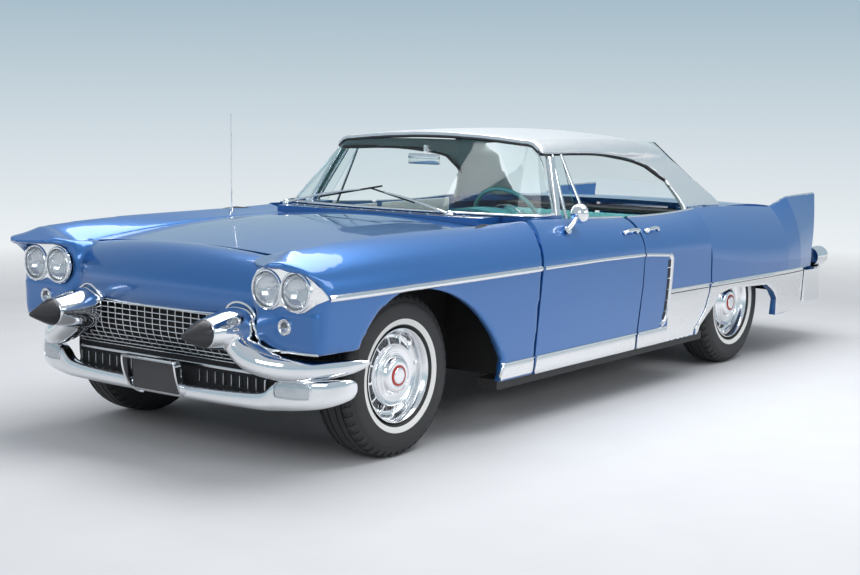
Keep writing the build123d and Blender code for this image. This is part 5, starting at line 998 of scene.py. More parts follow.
def patch_on(cast, patch, lift, wall, crown=0.0):
    """A grid laid on a surface by a ray function, with a wall and a crown in its middle."""
    rows, columns = len(patch), len(patch[0])
    bm = bmesh.new()
    bmesh.ops.create_grid(bm, x_segments=columns - 1, y_segments=rows - 1, size=1.0)
    for v in bm.verts:
        j, i = round((v.co.x + 1) / 2 * (columns - 1)), round((v.co.y + 1) / 2 * (rows - 1))
        edge = (1 - (2 * j / (columns - 1) - 1) ** 2) * (1 - (2 * i / (rows - 1) - 1) ** 2)
        place, out = cast(*patch[i][j])
        v.co = place + out * (lift + crown * edge ** 0.5)
    bmesh.ops.recalc_face_normals(bm, faces=bm.faces)
    bmesh.ops.solidify(bm, geom=bm.faces[:], thickness=wall)
    return bm


def outline_of(patch):
    """The patch's border as a closed line."""
    return patch[0][:-1] + [row[-1] for row in patch[:-1]] + patch[-1][:0:-1] + [
        row[0] for row in patch[:0:-1]
    ]


def rim_on(cast, outline, radius, lift=0.0):
    """A round bead along a closed outline on a surface."""
    line = []
    for a, b in outline:
        place, out = cast(a, b)
        line.append((place + out * lift, out))
    sections = []
    for i, (point, out) in enumerate(line):
        along = (line[(i + 1) % len(line)][0] - line[i - 1][0]).normalized()
        side = along.cross(out).normalized()
        sections.append([point + out * o + side * s for o, s in round_bar(radius, 8)])
    bm = bmesh.new()
    rings = [ring(bm, section) for section in sections]
    for first, second in zip(rings, rings[1:] + rings[:1]):
        bmesh.ops.bridge_loops(bm, edges=first + second)
    return bm


def bar_cast(x, z):
    """A place on the bumper bar's front."""
    return on_front(BAR_SKIN, x, z)


LENS_PATCH = rounded_patch((0.770, 0.372), 0.082, 0.034)
BACK_PATCH = rounded_patch((0.770, 0.372), 0.078, 0.031)


def corner_lens():
    """The clear lens, crowned a little."""
    return patch_on(bar_cast, LENS_PATCH, 0.0035, 0.006, 0.004)


lens = pair("corner_lens", corner_lens, FINISH["lamp_glass"], ON_BODY)
pair("corner_lens_back", lambda: patch_on(bar_cast, BACK_PATCH, 0.0012, 0.001), SILVER_MESH)
pair("corner_lens_rim", lambda: rim_on(bar_cast, outline_of(LENS_PATCH), 0.0035, 0.002))
print("corner lenses", len(lens))

# %% [markdown]
# ## Bullet tips
# A black rubber cone with a softly rounded point stands on each bullet behind a thin chrome step.

# %% Bullet tips
TIP_PROFILE = [
    (-0.1235, 0.0), (-0.1225, 0.0045), (-0.117, 0.0095), (-0.090, 0.0235), (-0.045, 0.0455),
    (-0.012, 0.0590), (-0.004, 0.0605), (-0.0003, 0.0600), (-0.0003, 0.0),
]
tips = mirror_too(along_y(TIP_PROFILE, BULLET, 48))
tip_piece = finish_piece("bullet_tips", tips, FINISH["black_rubber"], "body", 50.0)
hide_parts("bumper_tips")
print("tips", len(tip_piece.data.polygons))

# %% [markdown]
# ## Grille
# A fine egg-crate of bright bars. Its upper rows stand upright and its lower rows curl back under, so
# each upright is a swept strip that follows the curl, and each level bar is a slim bevelled bar.

# %% Grille
GRILLE_CURL = [
    (-2.4195, 0.6480), (-2.4200, 0.6230), (-2.4200, 0.5980), (-2.4195, 0.5730), (-2.4170, 0.5480),
    (-2.4110, 0.5235), (-2.4010, 0.5000), (-2.3870, 0.4780), (-2.3690, 0.4570), (-2.3480, 0.4380),
]
GRILLE_HALF = [0.441, 0.441, 0.441, 0.441, 0.441, 0.452, 0.490, 0.560, 0.600, 0.620]
GRILLE_PITCH = 0.049
TEETH_Y, PLATE_CLEAR = -2.362, 0.17
UPRIGHT_SECTION = [
    (0.0008, -0.0014), (0.0008, 0.0014), (0.0, 0.0022), (-0.013, 0.0022), (-0.013, -0.0022), (0.0, -0.0022)
]


def grille_mesh():
    """Level bars and the uprights that cross them."""
    bm = bmesh.new()
    for (y, z), half in zip(GRILLE_CURL, GRILLE_HALF):
        block(bm, (2 * half, 0.014, 0.0045), (0, y + 0.007, z), 0.0012)
    parts = [bm]
    count = int(GRILLE_HALF[-1] / GRILLE_PITCH)
    for i in range(-count, count + 1):
        x = i * GRILLE_PITCH
        line = [
            (Vector((x, y, z)), Vector((0, -1, 0)))
            for (y, z), half in zip(GRILLE_CURL, GRILLE_HALF)
            if abs(x) <= half
        ]
        if len(line) > 1:
            parts.append(sweep(line, UPRIGHT_SECTION))
    return joined(*parts)


grille = finish_piece("egg_crate", grille_mesh(), SILVER_MESH, "body", 35.0)
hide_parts("grille")
# A near-black sheet behind the egg-crate: painted shade for the hollow behind the grille.
backing = bmesh.new()
bmesh.ops.create_grid(backing, x_segments=24, y_segments=12, size=1.0)
for v in backing.verts:
    t = (v.co.y + 1) / 2
    v.co = Vector((v.co.x * 0.63, -2.355 + 0.05 * t, 0.30 + 0.345 * t))
bmesh.ops.solidify(backing, geom=backing.faces[:], thickness=0.003)
finish_piece("grille_painted_shade", backing, SHADE_AND_DIAL_BLACK, "body")
teeth = bmesh.new()
for i in range(-12, 13):
    if abs(i * GRILLE_PITCH) > PLATE_CLEAR:
        block(teeth, (0.0035, 0.022, 0.052), (i * GRILLE_PITCH, TEETH_Y, 0.366), 0.001)
block(teeth, (1.20, 0.012, 0.014), (0, TEETH_Y, 0.412), 0.004)
finish_piece("slot_teeth", teeth, SILVER_MESH, "body")
print("grille faces", len(grille.data.polygons))

# %% [markdown]
# ## Plate and its guard
# The blank dark plate sits in a chrome guard whose sides curve down and back under the bar.

# %% Plate
PLATE_SIZE, PLATE_CENTRE, PLATE_CORNER = (0.298, 0.007, 0.138), (0, -2.4445, 0.352), 0.008
plate = bmesh.new()
block(plate, PLATE_SIZE, PLATE_CENTRE)
corners = [e for e in plate.edges if abs(e.verts[0].co.y - e.verts[1].co.y) > PLATE_SIZE[1] / 2]
bmesh.ops.bevel(
    plate, geom=corners, offset=PLATE_CORNER, affect="EDGES", segments=4, profile=0.5, material=-1
)
plate_piece = finish_piece("blank_plate", plate, FINISH["plate_black"], "body")
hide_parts("front_plate")
GUARD_SIDE = [
    (0.166, -2.494, 0.431), (0.169, -2.491, 0.400), (0.169, -2.482, 0.360), (0.167, -2.467, 0.320),
    (0.162, -2.446, 0.288), (0.152, -2.420, 0.266), (0.140, -2.395, 0.257),
]
GUARD_SECTION = [(-0.008, 0.0), (-0.004, 0.0060), (0.034, 0.0035), (0.034, -0.0035), (-0.004, -0.0060)]
left_side = smooth_rows(GUARD_SIDE, 4)
guard_line = [Vector(p) for p in reversed(left_side)] + [Vector((-x, y, z)) for x, y, z in left_side]
guard_sections = []
for i, point in enumerate(guard_line):
    along = (guard_line[min(i + 1, len(guard_line) - 1)] - guard_line[max(i - 1, 0)]).normalized()
    away = Vector((0, 1, 0)) - along * along.y
    away.normalize()
    side = along.cross(away)
    guard_sections.append([point + away * a + side * b for a, b in GUARD_SECTION])
finish_piece("plate_guard", loft(guard_sections), sharp=50.0)
print("guard stations", len(guard_sections))

# %% [markdown]
# ## Headlamps and ring lamps
# Each lamp is a silvered bowl behind a fluted, crowned lens in a stepped bezel. The two bezels share a
# plate that tapers to a point at the fender's side, where the long molding starts.


# %% Fluted glass
def fluted_glass():
    """Clear pressed glass with upright flutes and a coarse block pattern."""
    material, tree, shader = new_material("fluted_glass")
    place = node(tree, "ShaderNodeTexCoord").outputs["Object"]
    bands = node(
        tree, "ShaderNodeTexWave", {"Vector": place, "Scale": 28.0, "Distortion": 0.4}, bands_direction="X"
    )
    blocks = node(
        tree, "ShaderNodeTexWave", {"Vector": place, "Scale": 9.0, "Distortion": 0.2}, bands_direction="Z"
    )
    both = node(
        tree, "ShaderNodeMath", {0: bands.outputs["Fac"], 1: blocks.outputs["Fac"]}, operation="ADD"
    ).outputs[0]
    shader.inputs["Transmission Weight"].default_value = 0.85
    shader.inputs["IOR"].default_value = 1.30
    tree.links.new(
        blend_colours(tree, bands.outputs["Fac"], (0.86, 0.90, 0.92), (0.97, 0.98, 1.0)),
        shader.inputs["Base Color"],
    )
    tree.links.new(between(tree, blocks.outputs["Fac"], 0.02, 0.07), shader.inputs["Roughness"])
    bump(tree, shader, both, 0.5, 0.0012)
    return material


FLUTED = fluted_glass()
LAMP_FACE_Y = -2.430
BOWL_PROFILE = [
    (-0.001, 0.0715), (0.010, 0.069), (0.024, 0.060), (0.037, 0.045), (0.046, 0.026), (0.050, 0.008),
    (0.050, 0.0),
]
LENS_PROFILE = [
    (-0.004, 0.0), (-0.004, 0.0715), (-0.009, 0.0705), (-0.0145, 0.061), (-0.0185, 0.042), (-0.0205, 0.021),
    (-0.021, 0.0),
]
RING_PROFILE = [
    (-0.001, 0.0725), (-0.0125, 0.0725), (-0.0145, 0.0740), (-0.0125, 0.0762), (-0.0100, 0.0768),
    (-0.0100, 0.0790), (-0.0130, 0.0800), (-0.0125, 0.0835), (-0.0060, 0.0870), (-0.001, 0.0875),
]
BULB_PROFILE = [(0.049, 0.008), (0.020, 0.010), (0.006, 0.0085), (0.001, 0.004), (0.000, 0.0)]
LAMP_PLACES = [(0.667, 0.791), (0.827, 0.791)]


def spun_at_lamps(profile, steps, closed=False):
    """The same turned piece at both left headlamps."""
    return joined(*[along_y(profile, (x, LAMP_FACE_Y, z), steps, closed) for x, z in LAMP_PLACES])


lenses = pair("headlamp_lens", lambda: spun_at_lamps(LENS_PROFILE, 56), FLUTED, ON_BODY, 50.0)
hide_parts("front_lamps")
pair(
    "headlamp_bowl",
    lambda: joined(spun_at_lamps(BOWL_PROFILE, 48), spun_at_lamps(BULB_PROFILE, 20)),
    sharp=50.0,
)
pair("headlamp_ring", lambda: spun_at_lamps(RING_PROFILE, 64, True), sharp=50.0)
print("headlamps", len(lenses) * 2)

# %% [markdown]
# ## Lamp plate
# One bright plate frames both lamps. Its outline is filled flat with two holes, given a thickness, and
# only then bent back at the tip, which keeps the holes round.

# %% Lamp plate
PLATE_OUTLINE = [
    (0.583, 0.800), (0.590, 0.835), (0.612, 0.866), (0.650, 0.880), (0.700, 0.884), (0.750, 0.884),
    (0.800, 0.882), (0.845, 0.876), (0.885, 0.860), (0.920, 0.838), (0.950, 0.806), (0.966, 0.781),
    (0.970, 0.768), (0.955, 0.760), (0.930, 0.748), (0.905, 0.730), (0.875, 0.712), (0.835, 0.703),
    (0.795, 0.709), (0.765, 0.722), (0.747, 0.727), (0.729, 0.722), (0.700, 0.709), (0.660, 0.703),
    (0.622, 0.714), (0.596, 0.741), (0.584, 0.770),
]


def lamp_plate():
    """The bright plate round both lamps, wrapped back at its outer tip."""
    outline = [Vector((x, 0, z)) for x, z in PLATE_OUTLINE]
    bm = bmesh.new()
    edges = ring(bm, outline)
    for x, z in LAMP_PLACES:
        edges += ring(
            bm,
            [
                Vector((x + 0.0865 * math.cos(a), 0, z + 0.0865 * math.sin(a)))
                for a in (2 * math.pi * i / 40 for i in range(40))
            ],
        )
    bmesh.ops.triangle_fill(bm, edges=edges, use_beauty=True)
    bm.faces.ensure_lookup_table()
    inner = [
        f
        for f in bm.faces
        if any((f.calc_center_median() - Vector((x, 0, z))).length < 0.0864 for x, z in LAMP_PLACES)
    ]
    bmesh.ops.delete(bm, geom=inner, context="FACES_ONLY")
    bmesh.ops.recalc_face_normals(bm, faces=bm.faces)
    bmesh.ops.solidify(bm, geom=bm.faces[:], thickness=0.006)
    for v in bm.verts:
        back = max(0.0, v.co.x - TIP_START)
        v.co.y += LAMP_FACE_Y - 0.0065 + TIP_BEND * back * back
    return bm


pair("lamp_plate", lamp_plate, sharp=35.0)
print("plate outline", len(PLATE_OUTLINE))

# %% [markdown]
# ## Ring lamps
# The small round lamps below are two turned pieces each: a bezel with a raised inner ring, and a lens. A
# ray on the front sheet finds how far forward they stand.

# %% Ring lamps
RING_LAMP_X, RING_LAMP_Z, RING_LAMP_SINK = 0.762, 0.640, 0.002
RING_LAMP_PROFILE = [
    (0.0, 0.036), (-0.006, 0.036), (-0.010, 0.034), (-0.0095, 0.031), (-0.005, 0.0295), (-0.005, 0.0265),
    (-0.0105, 0.0255), (-0.0125, 0.0235), (-0.011, 0.0215), (-0.005, 0.0205), (0.0, 0.0205),
]
SMALL_LENS_PROFILE = [
    (-0.002, 0.0), (-0.002, 0.0208), (-0.010, 0.0200), (-0.0165, 0.0140), (-0.0185, 0.006), (-0.019, 0.0)
]
RING_LAMP = Vector(
    (RING_LAMP_X, on_front(FRONT_SKIN, RING_LAMP_X, RING_LAMP_Z)[0].y + RING_LAMP_SINK, RING_LAMP_Z)
)
pair("ring_lamp_bezel", lambda: along_y(RING_LAMP_PROFILE, RING_LAMP, 48, True), sharp=35.0)
pair("ring_lamp_lens", lambda: along_y(SMALL_LENS_PROFILE, RING_LAMP, 36), FLUTED, ON_BODY)
print("ring lamp at", [round(v, 3) for v in RING_LAMP])

# %% [markdown]
# ## Side trim
# One bright molding runs from the lamps along the fender and doors, turns down round a slot of short
# fins on the rear door and meets a broad stainless panel that fills the lower quarter. Each run is
# clipped to the panel that carries it, so every shut line stays open.


# %% Trim helpers
NODE_SKIN = {name: surface_of(name) for name in ("door_front_left", "door_rear_left", "quarter_panels")}
NODE_SKIN["front_fenders"] = FRONT_SKIN
NODE_BODY = {
    "front_fenders": "body", "door_front_left": "door_front", "door_rear_left": "door_rear",
    "quarter_panels": "body",
}


def side_hit(skin, y, z):
    """The outer side of one panel at a place, or None where the panel isn't."""
    hit, normal, _, _ = skin.ray_cast(Vector((1.4, y, z)), Vector((-1, 0, 0)), 0.7)
    if hit is None:
        return None
    return hit, normal if normal.x > 0 else -normal


def runs_of(items):
    """Unbroken runs of a list that has None where it is broken."""
    out, run = [], []
    for item in items + [None]:
        if item is None:
            if len(run) > 1:
                out.append(run)
            run = []
        else:
            run.append(item)
    return out


def molding_on(name, places, width, height):
    """A rounded molding on one panel along (along, up) places, as far as the panel reaches."""
    line = [side_hit(NODE_SKIN[name], p.x, p.y) for p in fine([(y, z, 0) for y, z in places], 0.008)]
    return [sweep(run, half_round(width, height)) for run in runs_of(line)]


def panel_span(name, y, low, high):
    """The heights between low and high at which a panel is there."""
    skin, steps = NODE_SKIN[name], 24
    found = [
        low + (high - low) * i / steps
        for i in range(steps + 1)
        if side_hit(skin, y, low + (high - low) * i / steps)
    ]
    if len(found) < 3:
        return None
    ends = []
    for inside, beyond_it in (
        (found[0], found[0] - (high - low) / steps), (found[-1], found[-1] + (high - low) / steps)
    ):
        if low <= beyond_it <= high:
            for _ in range(6):
                middle = (inside + beyond_it) / 2
                inside, beyond_it = (middle, beyond_it) if side_hit(skin, y, middle) else (inside, middle)
        ends.append(inside)
    return ends


def sheet_on(name, places, rows=8, lift=0.003):
    """A bright sheet on one panel. places are (along, lowest, highest); its edges are rolled in."""
    columns = []
    for y, low, high in places:
        span = panel_span(name, y, low, high)
        if span is None or span[1] - span[0] < 0.004:
            columns.append(None)
            continue
        front, back = [], []
        for i in range(rows + 1):
            t = i / rows
            z = span[0] + (span[1] - span[0]) * t
            hit = side_hit(NODE_SKIN[name], y, z)
            if hit is None:
                break
            rise = lift * min(1.0, 6 * min(t, 1 - t) + 0.15)
            front.append(hit[0] + hit[1] * rise)
            back.append(hit[0] - hit[1] * 0.001)
        columns.append(front + back[::-1] if len(front) == rows + 1 else None)
    return [loft(run) for run in runs_of(columns)]


def trim_piece(name, parts, node, material=None):
    """The left trim on a panel and its mirror image, each on its own body."""
    if not parts:
        return
    whole = joined(*parts)
    body = NODE_BODY[node]
    bodies = ON_BODY if body == "body" else (f"{body}_left", f"{body}_right")
    pair(name, whole.copy, material or CHROME, bodies, 50.0)
    whole.free()


print("panel skins", len(NODE_SKIN))

# %% [markdown]
# ## Side molding
# A real molding is clipped along the panels, one length to each. A rounded section is swept along points
# that a ray drops on each panel, so the gaps at the doors come by themselves.

# %% Long molding
MOLDING = [
    (-2.376, 0.768), (-1.600, 0.770), (-0.874, 0.769), (-0.300, 0.768), (0.113, 0.760), (0.300, 0.745),
    (0.372, 0.739),
]
trim_piece("molding_fender", molding_on("front_fenders", MOLDING[:4], 0.029, 0.011), "front_fenders")
trim_piece(
    "molding_front_door", molding_on("door_front_left", MOLDING[1:6], 0.019, 0.008), "door_front_left"
)
BAND_TURN = [
    (0.372, 0.739), (0.396, 0.734), (0.409, 0.716), (0.411, 0.690), (0.410, 0.600), (0.405, 0.520),
    (0.398, 0.450), (0.385, 0.400), (0.362, 0.368), (0.330, 0.352),
]
rear_molding = molding_on("door_rear_left", MOLDING[4:], 0.019, 0.008)
rear_molding += molding_on("door_rear_left", BAND_TURN, 0.030, 0.009)
trim_piece("molding_rear_door", rear_molding, "door_rear_left")
print("molding points", len(MOLDING) + len(BAND_TURN))

# %% [markdown]
# ## Side slot
# Behind the molding's turn the rear door has a slot with five short fins, a dummy air outlet. The
# slot is a thin near-black strip of painted shade on the skin, and the fins are small half-round bars.

# %% Slot and fins on the rear door
SIDE_SLOT_SECTION = [(0.0012, -0.014), (0.0016, 0.0), (0.0012, 0.014), (-0.002, 0.014), (-0.002, -0.014)]
SLOT_FIN_HEIGHTS = (0.672, 0.612, 0.552, 0.492, 0.432)
SLOT_LINE = [(0.380, 0.712), (0.384, 0.690), (0.384, 0.600), (0.378, 0.500), (0.366, 0.420), (0.350, 0.386)]
slot_line = [
    side_hit(NODE_SKIN["door_rear_left"], p.x, p.y) for p in fine([(y, z, 0) for y, z in SLOT_LINE], 0.012)
]
slot_parts = [sweep(run, SIDE_SLOT_SECTION) for run in runs_of(slot_line)]
# The slot strip is painted shade for the outlet's hollow.
trim_piece("side_slot", slot_parts, "door_rear_left", SHADE_AND_DIAL_BLACK)
slot_fins = []
for z in SLOT_FIN_HEIGHTS:
    fin_line = [side_hit(NODE_SKIN["door_rear_left"], 0.345 + 0.012 * i, z) for i in range(5)]
    slot_fins += [sweep(run, half_round(0.006, 0.009, count=5)) for run in runs_of(fin_line)]
trim_piece("side_fins", slot_fins, "door_rear_left")
print("side fins", len(SLOT_FIN_HEIGHTS))

# %% [markdown]
# ## Sill and lower quarter
# The brushed panels are thin sheets over the paint. Columns of rays give each sheet the panel's own
# curve, and its edges roll in so that it looks pressed.

# %% Sill band and lower quarter
def stations(start, end, step):
    """Even places from start to end, no more than a step apart."""
    count = max(1, math.ceil((end - start) / step))
    return [start + (end - start) * i / count for i in range(count + 1)]


def quarter_top(y):
    """Height of the lower quarter panel's top edge."""
    return 0.540 - 0.012 * (y - 0.41)


for node_name, start, end in (
    ("front_fenders", -1.20, -0.85), ("door_front_left", -0.92, 0.13), ("door_rear_left", 0.03, 0.40)
):
    sill_places = [(y, 0.250, 0.338) for y in stations(start, end, 0.012)]
    trim_piece(
        f"sill_band_{node_name}", sheet_on(node_name, sill_places, 6, 0.005), node_name, BRUSHED_TRIM
    )
    bead = molding_on(node_name, [(start, 0.341), (end, 0.341)], 0.010, 0.008)
    trim_piece(f"sill_bead_{node_name}", bead, node_name)
for node_name, start, end in (("door_rear_left", 0.40, 0.93), ("quarter_panels", 0.70, 2.20)):
    places = [
        (y, 0.250 + max(0.0, 0.085 - abs(y - 0.315)), quarter_top(y)) for y in stations(start, end, 0.010)
    ]
    trim_piece(
        f"lower_quarter_{node_name}", sheet_on(node_name, places, 12, 0.004), node_name, BRUSHED_TRIM
    )
    edge = [(y, quarter_top(y) + 0.004) for y in stations(max(start, 0.428), end, 0.05)]
    trim_piece(f"quarter_bead_{node_name}", molding_on(node_name, edge, 0.011, 0.010), node_name)
    # The groove under the bead is a near-black strip of painted shade.
    groove = molding_on(node_name, [(y, z - 0.022) for y, z in edge], 0.006, 0.0055)
    trim_piece(f"quarter_groove_{node_name}", groove, node_name, RUBBER_AND_GROOVE_SHADE)
print("lower quarter top", round(quarter_top(0.41), 3), round(quarter_top(2.2), 3))

# %% [markdown]
# ## Handles and mirror
# A door handle is a slim bar on two feet beside a push button, and the mirror is a round head on a bent
# stalk. Bars are swept and round parts are spun about the direction in which the door's skin faces.

# %% Handles and mirror
BUTTON_PROFILE = [
    (-0.002, 0.0), (-0.002, 0.017), (0.010, 0.016), (0.014, 0.012), (0.014, 0.0095), (0.020, 0.009),
    (0.021, 0.0),
]
HANDLE_FOOT = [(-0.002, 0.0), (-0.002, 0.015), (0.003, 0.0145), (0.009, 0.0085), (0.011, 0.0)]
MIRROR_FOOT = [
    (-0.004, 0.0), (-0.002, 0.028), (0.003, 0.027), (0.008, 0.020), (0.014, 0.013), (0.016, 0.0)
]
MIRROR_DOME = [
    (-0.030, 0.0), (-0.0285, 0.012), (-0.022, 0.028), (-0.010, 0.042), (0.004, 0.0495), (0.016, 0.051),
    (0.021, 0.0505), (0.022, 0.048), (0.019, 0.046), (0.018, 0.0),
]
UP = (0, 0, 1)


def handle(y_start, y_end, z, skin_name, button_at):
    """A slim pull bar on two feet with a push button."""
    line = []
    for i in range(13):
        t = i / 12
        hit = side_hit(NODE_SKIN[skin_name], y_start + (y_end - y_start) * t, z)
        if hit is None:
            return None
        line.append((hit[0] + hit[1] * (0.006 + 0.022 * math.sin(math.pi * t) ** 0.6), hit[1]))
    bar = sweep(
        line, [(o * 0.7, s) for o, s in round_bar(0.0085, 12)], lambda t: 0.75 + 0.4 * math.sin(math.pi * t)
    )
    hit = side_hit(NODE_SKIN[skin_name], button_at, z - 0.001)
    parts = [bar, spun(BUTTON_PROFILE, hit[0], hit[1], UP, 28)]
    for t in (0.06, 0.94):
        foot = side_hit(NODE_SKIN[skin_name], y_start + (y_end - y_start) * t, z)
        parts.append(spun(HANDLE_FOOT, foot[0], foot[1], UP, 24))
    return joined(*parts)


trim_piece("front_handle", [handle(-0.070, 0.088, 0.884, "door_front_left", 0.066)], "door_front_left")
trim_piece("rear_handle", [handle(0.150, 0.308, 0.880, "door_rear_left", 0.172)], "door_rear_left")


def outside_mirror():
    """A round chrome head on a bent stalk over the driver's door."""
    foot, head = Vector((0.905, -0.590, 0.925)), Vector((0.950, -0.500, 1.011))
    hit = side_hit(NODE_SKIN["door_front_left"], foot.y, foot.z)
    base = hit[0]
    way = (head - base).normalized()
    stalk = [
        (
            base + (head - base) * (i / 10) + Vector((0.010, 0, 0)) * math.sin(math.pi * i / 10),
            way.cross(Vector((0, 0, 1))),
        )
        for i in range(11)
    ]
    parts = [sweep(stalk, round_bar(0.0095, 14), lambda t: 1.25 - 0.45 * t)]
    parts.append(spun(MIRROR_FOOT, base, hit[1], UP, 28))
    parts.append(spun(MIRROR_DOME, head, Vector((0.12, 1, 0.03)), UP, 48))
    return joined(*parts)


mirror = finish_piece("outside_mirror", outside_mirror(), CHROME, "door_front_left", 50.0)
print("mirror faces", len(mirror.data.polygons))

# %% [markdown]
# ## Cowl
# Air enters through a slot ahead of the windscreen with slanted fins, and through two leaf-shaped
# openings. All lie on the painted skin as thin strips: the openings as near-black painted shade,
# because nothing inside shows, and the fins bright.

# %% Leaf inlets and cowl fins
TOP_SKIN = surface_of("cowl_panel", "hood", "quarter_panels", "rear_deck", "trunk_lid")
LEAF_START, LEAF_SHIFT = (0.845, -1.23), (-0.05, 0.19)
LEAF_SECTION = [(0.004, 0.0), (0.002, 0.010), (-0.003, 0.016), (-0.003, -0.016), (0.002, -0.010)]
SLOT_SECTION = [(0.0, -0.021), (0.0008, 0.0), (0.0, 0.021), (-0.003, 0.021), (-0.003, -0.021)]
SLOT_HALF, SLOT_Y, SLOT_BOW = 0.62, -0.925, 0.045
COWL_FINS, COWL_FIN_REACH = 11, 0.53


def leaf_inlet(side):
    """A pointed oval strip of painted shade for an opening in the fender's top."""
    line = []
    for i in range(15):
        t = i / 14
        x = side * (LEAF_START[0] + LEAF_SHIFT[0] * t)
        line.append(on_top(FRONT_SKIN, x, LEAF_START[1] + LEAF_SHIFT[1] * t, 0.0005))
    return sweep(line, LEAF_SECTION, lambda t: 0.05 + math.sin(math.pi * t) ** 0.8)


def slot_y(x):
    """The cowl slot's place along the car, bowed like the windscreen's foot."""
    return SLOT_Y + SLOT_BOW * (x / SLOT_HALF) ** 2


def cowl_fin(x):
    """One slanted fin across the cowl slot."""
    line = [
        on_top(TOP_SKIN, x - 0.022 + 0.044 * k / 4, slot_y(x) + 0.019 - 0.038 * k / 4, 0.001)
        for k in range(5)
    ]
    return sweep(line, half_round(0.007, 0.007, count=5), lambda t: 0.5 + 0.7 * t)


# The leaf openings are near-black strips of painted shade.
leaves = joined(*[leaf_inlet(side) for side in (1, -1)])
finish_piece("leaf_inlets", leaves, SHADE_AND_DIAL_BLACK, "body")
# The cowl slot is a near-black strip of painted shade.
slot_places = [-SLOT_HALF + 2 * SLOT_HALF * i / 30 for i in range(31)]
slot_path = [on_top(TOP_SKIN, x, slot_y(x), 0.0012) for x in slot_places]
cowl_slot = sweep(
    slot_path, SLOT_SECTION, lambda t: 0.2 + 0.8 * math.sin(math.pi * min(1, max(0, t))) ** 0.35
)
finish_piece("cowl_slot", cowl_slot, SHADE_AND_DIAL_BLACK, "body")
fin_places = [-COWL_FIN_REACH + 2 * COWL_FIN_REACH * i / (COWL_FINS - 1) for i in range(COWL_FINS)]
finish_piece("cowl_fins", joined(*[cowl_fin(x) for x in fin_places]))
print("cowl fins", COWL_FINS)

# %% [markdown]
# ## Bright edges
# A bead runs from the grille over each bullet and along the fender's lip. It hides the line where the
# sheet metal meets the bumper, as on the real car.

# %% Body edges in chrome
COLLAR_ROWS = [
    (0.392, 0.652), (0.400, 0.668), (0.425, 0.698), (0.460, 0.716), (0.500, 0.716), (0.545, 0.694),
    (0.575, 0.660), (0.590, 0.620), (0.600, 0.580), (0.622, 0.552), (0.660, 0.540), (0.720, 0.537),
    (0.800, 0.537), (0.880, 0.538), (0.925, 0.540),
]
COLLAR_BACK_Y = -2.405
BEAD_HALF, BEAD_Z = 0.40, 0.654
collar = []
for x, z in smooth_rows(COLLAR_ROWS, 3):
    hit, _, _, _ = FRONT_SKIN.ray_cast(Vector((x, -3.5, z)), Vector((0, 1, 0)), 1.4)
    y = hit.y if hit is not None and hit.y < -2.2 else LAMP_FACE_Y
    collar.append((Vector((x, min(y, COLLAR_BACK_Y), z)), Vector((0, -1, 0))))
pair("bumper_collar", lambda: sweep(collar, [(o * 1.3, s) for o, s in round_bar(0.0065, 10)]), sharp=60.0)
bead_line = [on_front(FRONT_SKIN, -BEAD_HALF + 2 * BEAD_HALF * i / 30, BEAD_Z, 0.001) for i in range(31)]
finish_piece("grille_top_bead", sweep(bead_line, round_bar(0.0055, 10)), sharp=60.0)
print("collar stations", len(collar))

# %% [markdown]
# ## Roof and windows
# The steel roof flows into its rear pillars without a seam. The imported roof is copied, remeshed and
# relaxed, so the same sheet shows with soft corners, and it gets a header, drip rails and seals.

# %% Roof skin
def soft_copy(name, voxel, iterations):
    """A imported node's form with its corners relaxed."""
    bm = bmesh.new()
    bm.from_mesh(NODES[name].data)
    bmesh.ops.remove_doubles(bm, verts=bm.verts, dist=1e-5)
    return reshaped(
        bm,
        ("REMESH", {"mode": "VOXEL", "voxel_size": voxel}),
        ("SMOOTH", {"factor": 0.5, "iterations": iterations}),
    )


def rear_shoulder(c, k):
    """Where the roof turns down into its rear pillars."""
    return c.y > 0.62 and abs(c.x) > 0.40 and c.z > 1.10


roof_bm = soft_copy("roof", 0.0085, 14)
relax(roof_bm, rear_shoulder, 60)
ROOF_SKIN = BVHTree.FromBMesh(roof_bm)
CABIN_MIDDLE = Vector((0, 0.35, 1.05))
roof_bm.normal_update()
for face in roof_bm.faces:
    inward = (CABIN_MIDDLE - face.calc_center_median()).normalized()
    face.material_index = 1 if face.normal.dot(inward) > 0.25 else 0
roof_skin = finish_piece("roof_skin", roof_bm, [FINISH["stainless"], HEADLINER], "body", 60.0)
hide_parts("roof")
print("roof faces", len(roof_skin.data.polygons))

# %% [markdown]
# ## Header and seals
# A bright strip and a rubber seal close the roof's front edge, and a drip rail and a thick seal follow
# the side windows' curve. Each is one sweep along points found on the roof skin.

# %% Header, drip rails and seals
ROOF_FRONT_Y = -0.440


def header_line(drop, ahead):
    """Points along the roof's front edge."""
    out = []
    for i in range(41):
        x = -0.672 + 1.344 * i / 40
        hit, normal, _, _ = ROOF_SKIN.ray_cast(Vector((x, ROOF_FRONT_Y + 0.012, 2.0)), Vector((0, 0, -1)))
        out.append((Vector((x, ROOF_FRONT_Y - ahead, hit.z - drop)), Vector((0, -1, 0.4)).normalized()))
    return out


header = sweep(
    header_line(0.010, 0.003),
    [(0.006, 0.0), (0.004, 0.008), (-0.008, 0.010), (-0.008, -0.010), (0.004, -0.008)],
)
finish_piece("header_strip", header, sharp=60.0)
header_seal = sweep(header_line(0.024, 0.005), round_bar(0.0075, 10))
finish_piece("header_seal", header_seal, RUBBER_AND_GROOVE_SHADE, "body", 60.0)
WINDOW_TOP = [
    (-0.425, 1.292), (-0.287, 1.289), (-0.093, 1.287), (0.109, 1.279), (0.320, 1.258), (0.540, 1.224),
    (0.679, 1.169), (0.822, 1.089), (0.946, 1.009), (1.010, 0.962),
]


